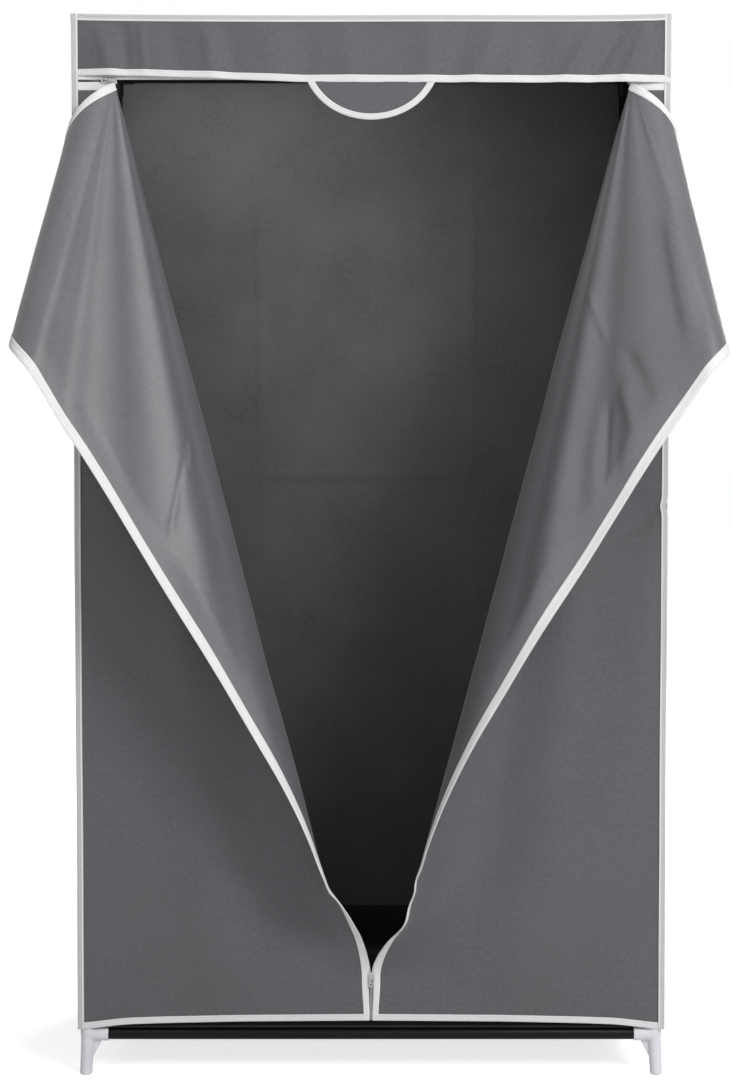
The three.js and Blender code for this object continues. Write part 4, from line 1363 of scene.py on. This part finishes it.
def corner_moulding(up):
    """Arms along +x and +y and one up or down, with the leg and fins on a foot."""
    ways = [(1, 0, 0), (0, 1, 0), (0, 0, up)]
    parts = [arm_part(way, SOCKET_RADIUS, 0, SOCKET_REACH) for way in ways]
    parts.append(ball_part(SOCKET_RADIUS))
    if up > 0:
        parts += [leg_part(-LEG_CANT, -LEG_CANT), fin_part((1, 0)), fin_part((0, 1))]
    cuts = [arm_part(way, BORE_RADIUS, SOCKET_SEAT, BORE_BEYOND) for way in ways]
    return moulded(parts, cuts)


def tee_moulding():
    """Arms both ways along y, with a thin web between their bores, and one along +x."""
    seats = {(0, 1, 0): TEE_WEB, (0, -1, 0): TEE_WEB, (1, 0, 0): SOCKET_SEAT}
    parts = [arm_part(way, SOCKET_RADIUS, 0, SOCKET_REACH) for way in seats]
    cuts = [arm_part(way, BORE_RADIUS, seat, BORE_BEYOND) for way, seat in seats.items()]
    return moulded(parts, cuts)


def set_in_scene(mesh):
    """Moves a mesh made in mm in the cabinet's frame to its place in the scene."""
    mesh.transform(Matrix.Diagonal((MM, MM, MM, 1)))
    mesh.transform(Matrix.Translation(Vector(CENTRE)))


def placed_copy(source, name, node, centre, mirror, material, slot):
    """A copy of a moulding, mirrored and set at its centre, in a node's stead."""
    mesh = source.data.copy()
    mesh.transform(Matrix.Diagonal((*mirror, 1)))
    if mirror[0] * mirror[1] * mirror[2] < 0:
        mesh.flip_normals()
    mesh.transform(Matrix.Translation(Vector(centre)))
    set_in_scene(mesh)
    shade_smooth(mesh, 35)
    piece = add_object(name, mesh)
    finish_piece(piece, material, slot, "frame")
    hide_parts(node)


def joint_centre(end_name, side_name, level):
    """Where the tube axes of a corner meet."""
    post_low, post_high = span(f"post_lower_{end_name}_{side_name}")
    across = (post_low + post_high) / 2
    tube_low, tube_high = span(f"{level}_tube_{end_name}")
    return np.array([across[0], across[1], (tube_low[2] + tube_high[2]) / 2])


def corner_joints():
    kinds = (
        ("foot", corner_moulding(1), "bottom", plastic, "white_plastic"),
        ("top", corner_moulding(-1), "top", dark_plastic, "black_plastic"),
    )
    for side_name, side in SIDES:
        for end_name, end in ENDS:
            corner_name = f"{end_name}_{side_name}"
            for kind, source, level, material, slot in kinds:
                node = f"{kind}_joint_{corner_name}"
                centre = joint_centre(end_name, side_name, level)
                name = f"{kind}_{corner_name}"
                placed_copy(source, name, node, centre, (-side, -end, 1), material, slot)
    for _, source, *_ in kinds:
        bpy.data.objects.remove(source)


def rail_tees():
    tee = tee_moulding()
    rail_low, rail_high = span("hanging_rail")
    rail_z = (rail_low[2] + rail_high[2]) / 2
    for side_name, side in SIDES:
        node = f"rail_tee_{side_name}"
        lowest, highest = span(node)
        outer = lowest[0] + SOCKET_RADIUS if side < 0 else highest[0] - SOCKET_RADIUS
        mirror = (-side, 1, 1)
        name = f"tee_{side_name}"
        placed_copy(tee, name, node, (outer, 0, rail_z), mirror, dark_plastic, "black_plastic")
    bpy.data.objects.remove(tee)


def couplers():
    for node in frame["nodes"]:
        if not node.startswith("post_coupler"):
            continue
        lowest, highest = span(node)
        length = highest[2] - lowest[2]
        web, lip, rib = 1.5, 0.7, 0.25
        middle = length / 2
        half = [
            (0.01, middle - web), (BORE_RADIUS, middle - web), (BORE_RADIUS, 0),
            (SOCKET_RADIUS - lip, 0), (SOCKET_RADIUS, lip), (SOCKET_RADIUS, middle - 4),
            (SOCKET_RADIUS + rib, middle - 3)]
        profile = half + mirrored(half, length)
        origin = np.array([(lowest[0] + highest[0]) / 2, (lowest[1] + highest[1]) / 2, lowest[2]])
        piece = lathe(f"coupler_{node[13:]}", origin, (0, 0, 1), profile)
        finish_piece(piece, plastic, "white_plastic", "frame")
        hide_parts(node)


# Zips

CAST_EDGE = 0.22


def softened(node_name, material, slot, body):
    """The node's own shape with its edges rounded, in the node's stead."""
    mesh = frame["nodes"][node_name].data.copy()
    mesh.materials.clear()
    piece = add_object(f"{node_name}_cast", mesh)
    rework(mesh, lambda sculpt: bmesh.ops.remove_doubles(sculpt, verts=sculpt.verts, dist=0.01 * MM))
    apply_modifier(
        piece, "BEVEL", width=CAST_EDGE * MM, segments=2, limit_method="ANGLE", angle_limit=0.6)
    shade_smooth(piece.data, 40)
    finish_piece(piece, material, slot, body)
    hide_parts(node_name)


def zip_metal():
    for name in ("centre", "left", "right"):
        softened(f"zip_slider_{name}", zinc, "zinc", f"slider_{name}")
        softened(f"zip_pull_{name}", zinc, "zinc", f"pull_{name}")


TOOTH_PITCH = 1.5
TOOTH_ASIDE = 0.55
TOOTH_LEAN = 0.16
# Sizes of a tooth along x, y and z in the upright zip and in the level ones
UPRIGHT_TOOTH = (3.6, 2.0, 1.5)
LEVEL_TOOTH = (1.5, 2.0, 3.6)


def tooth(sculpt, centre, size, lean):
    """One coil tooth: a small rounded bead that crosses the zip."""
    made = bmesh.ops.create_uvsphere(sculpt, u_segments=10, v_segments=6, radius=0.5)
    turn = Matrix.Rotation(lean, 4, "Y")
    scale = Matrix.Diagonal((*size, 1))
    bmesh.ops.transform(sculpt, verts=made["verts"], matrix=Matrix.Translation(centre) @ turn @ scale)


def teeth_row(name, centres, size):
    """The coil's interlocked teeth along a shut zip."""
    def build(sculpt):
        for i, centre in enumerate(centres):
            tooth(sculpt, centre, size, TOOTH_LEAN if i % 2 else -TOOTH_LEAN)
    teeth = solid_from(build)
    teeth.name = name
    set_in_scene(teeth.data)
    shade_smooth(teeth.data)
    return finish_piece(teeth, coil, "zip_tape", "frame")


def zip_chains():
    """The upright zip's shut end, and the level zips' between the cabinet's sides and sliders."""
    lowest, highest = span("zip_chain_closed")
    middle = (lowest[0] + highest[0]) / 2
    aside = [TOOTH_ASIDE, -TOOTH_ASIDE]
    heights = np.arange(lowest[2] + 0.9, highest[2] - 0.8, TOOTH_PITCH)
    centres = [(middle - aside[i % 2], FRONT - 0.1, z) for i, z in enumerate(heights)]
    teeth = teeth_row("zip_teeth", centres, UPRIGHT_TOOTH)
    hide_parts("zip_chain_closed")
    for side_name, start, end in (
        ("left", -HALF_WIDTH + 2, span("zip_slider_left")[0][0] + 1),
        ("right", span("zip_slider_right")[1][0] - 1, HALF_WIDTH - 2),
    ):
        across = np.arange(start, end, TOOTH_PITCH)
        centres = [(x, FRONT - 0.1, ZIP_Z + aside[i % 2]) for i, x in enumerate(across)]
        teeth_row(f"zip_teeth_{side_name}", centres, LEVEL_TOOTH)


for side_name in folds:
    front_cloth(side_name)
    corner_cloth(side_name)
    front_tapes(side_name)
header_cloth()
header_tab()
walls()
header_band()
floor_cloth()
seam_tapes()
tubes()
corner_joints()
rail_tees()
couplers()
zip_metal()
zip_chains()


# Studio

def area_light(name, place, target, size, power):
    data = bpy.data.lights.new(name, "AREA")
    data.shape = "RECTANGLE"
    data.size, data.size_y = size
    data.energy = power
    light = add_object(name, data)
    light.location = place
    light.rotation_mode = "QUATERNION"
    light.rotation_quaternion = (Vector(target) - Vector(place)).to_track_quat("-Z", "Y")
    return light


def seen_rays(tree):
    """1 for camera, glossy and transmission rays, 0 for the rays that light the object."""
    path = add_node(tree, "ShaderNodeLightPath")
    total = path.outputs["Is Camera Ray"]
    for ray_name in ("Is Glossy Ray", "Is Transmission Ray"):
        total = computed(tree, "MAXIMUM", total, path.outputs[ray_name])
    return total


def studio_world(light_level):
    world = bpy.data.worlds.new("studio")
    bpy.context.scene.world = world
    world.use_nodes = True
    tree = world.node_tree
    background = tree.nodes["Background"]
    socket(background, "Color", (1, 1, 1, 1))
    strength = ranged(tree, seen_rays(tree), 0, 1, light_level, 1.0)
    tree.links.new(strength, background.inputs["Strength"])


def studio_floor():
    """A pale floor that keeps the object's shadow and meets the white surround."""
    mesh = bpy.data.meshes.new("studio_floor")
    half = 12
    corners = [(-half, -half, 0), (half, -half, 0), (half, half, 0), (-half, half, 0)]
    mesh.from_pydata(corners, [], [(0, 1, 2, 3)])
    floor = add_object("studio_floor", mesh)
    material, tree, shader = new_material("studio_floor", rough=0.9, specular=0.1)
    socket(shader, "Base Color", (0.85, 0.85, 0.85, 1))
    distance = add_node(tree, "ShaderNodeVectorMath", operation="LENGTH")
    tree.links.new(object_places(tree), distance.inputs[0])
    near_to_far = ranged(tree, distance.outputs["Value"], 0.6, 1.7, 0.74, 1.0)
    glow = computed(tree, "MULTIPLY", near_to_far, seen_rays(tree))
    socket(shader, "Emission Color", (1, 1, 1, 1))
    tree.links.new(glow, shader.inputs["Emission Strength"])
    mesh.materials.append(material)


def camera():
    data = bpy.data.cameras.new("camera")
    data.sensor_fit = "VERTICAL"
    data.sensor_height = 36
    data.lens = 67.44
    eye = add_object("camera", data)
    back, height, aside, pitch = 3042, 953.9, -7.7, 2.574
    eye.location = to_scene((aside, -HALF_DEPTH - back, height)).tolist()
    eye.rotation_euler = (math.radians(90 - pitch), 0, 0)
    data.clip_start, data.clip_end = 0.05, 100
    bpy.context.scene.camera = eye


camera()
studio_world(0.08)
studio_floor()
MIDDLE = to_scene((0, -100, 900)).tolist()
# Name, place, size and power of each lamp that looks at the middle
LAMPS = [
    ("overhead", (0.2, -0.6, 3.6), (2.4, 1.6), 16),
    ("front_right", (2.1, -3.1, 2.8), (1.2, 1.6), 88),
    ("front_left", (-2.4, -2.9, 2.7), (1.3, 1.7), 22),
    ("right", (3.6, -2.4, 1.4), (1.6, 2.6), 14),
    ("front", (0.0, -4.8, 1.4), (3.0, 2.4), 28),
    ("rear", (1.8, 4.0, 2.4), (2.0, 2.0), 140),
]
for name, place, size, power in LAMPS:
    area_light(name, place, MIDDLE, size, power)
# Daylight that comes through the thin roof and falls on the back
glow_place = to_scene((-210, -70, 1560)).tolist()
glow_target = to_scene((-150, HALF_DEPTH, 1300)).tolist()
glow = area_light("through_roof", glow_place, glow_target, (0.5, 0.05), 1.1)
glow.visible_camera = False
bpy.context.scene.view_settings.view_transform = "Standard"
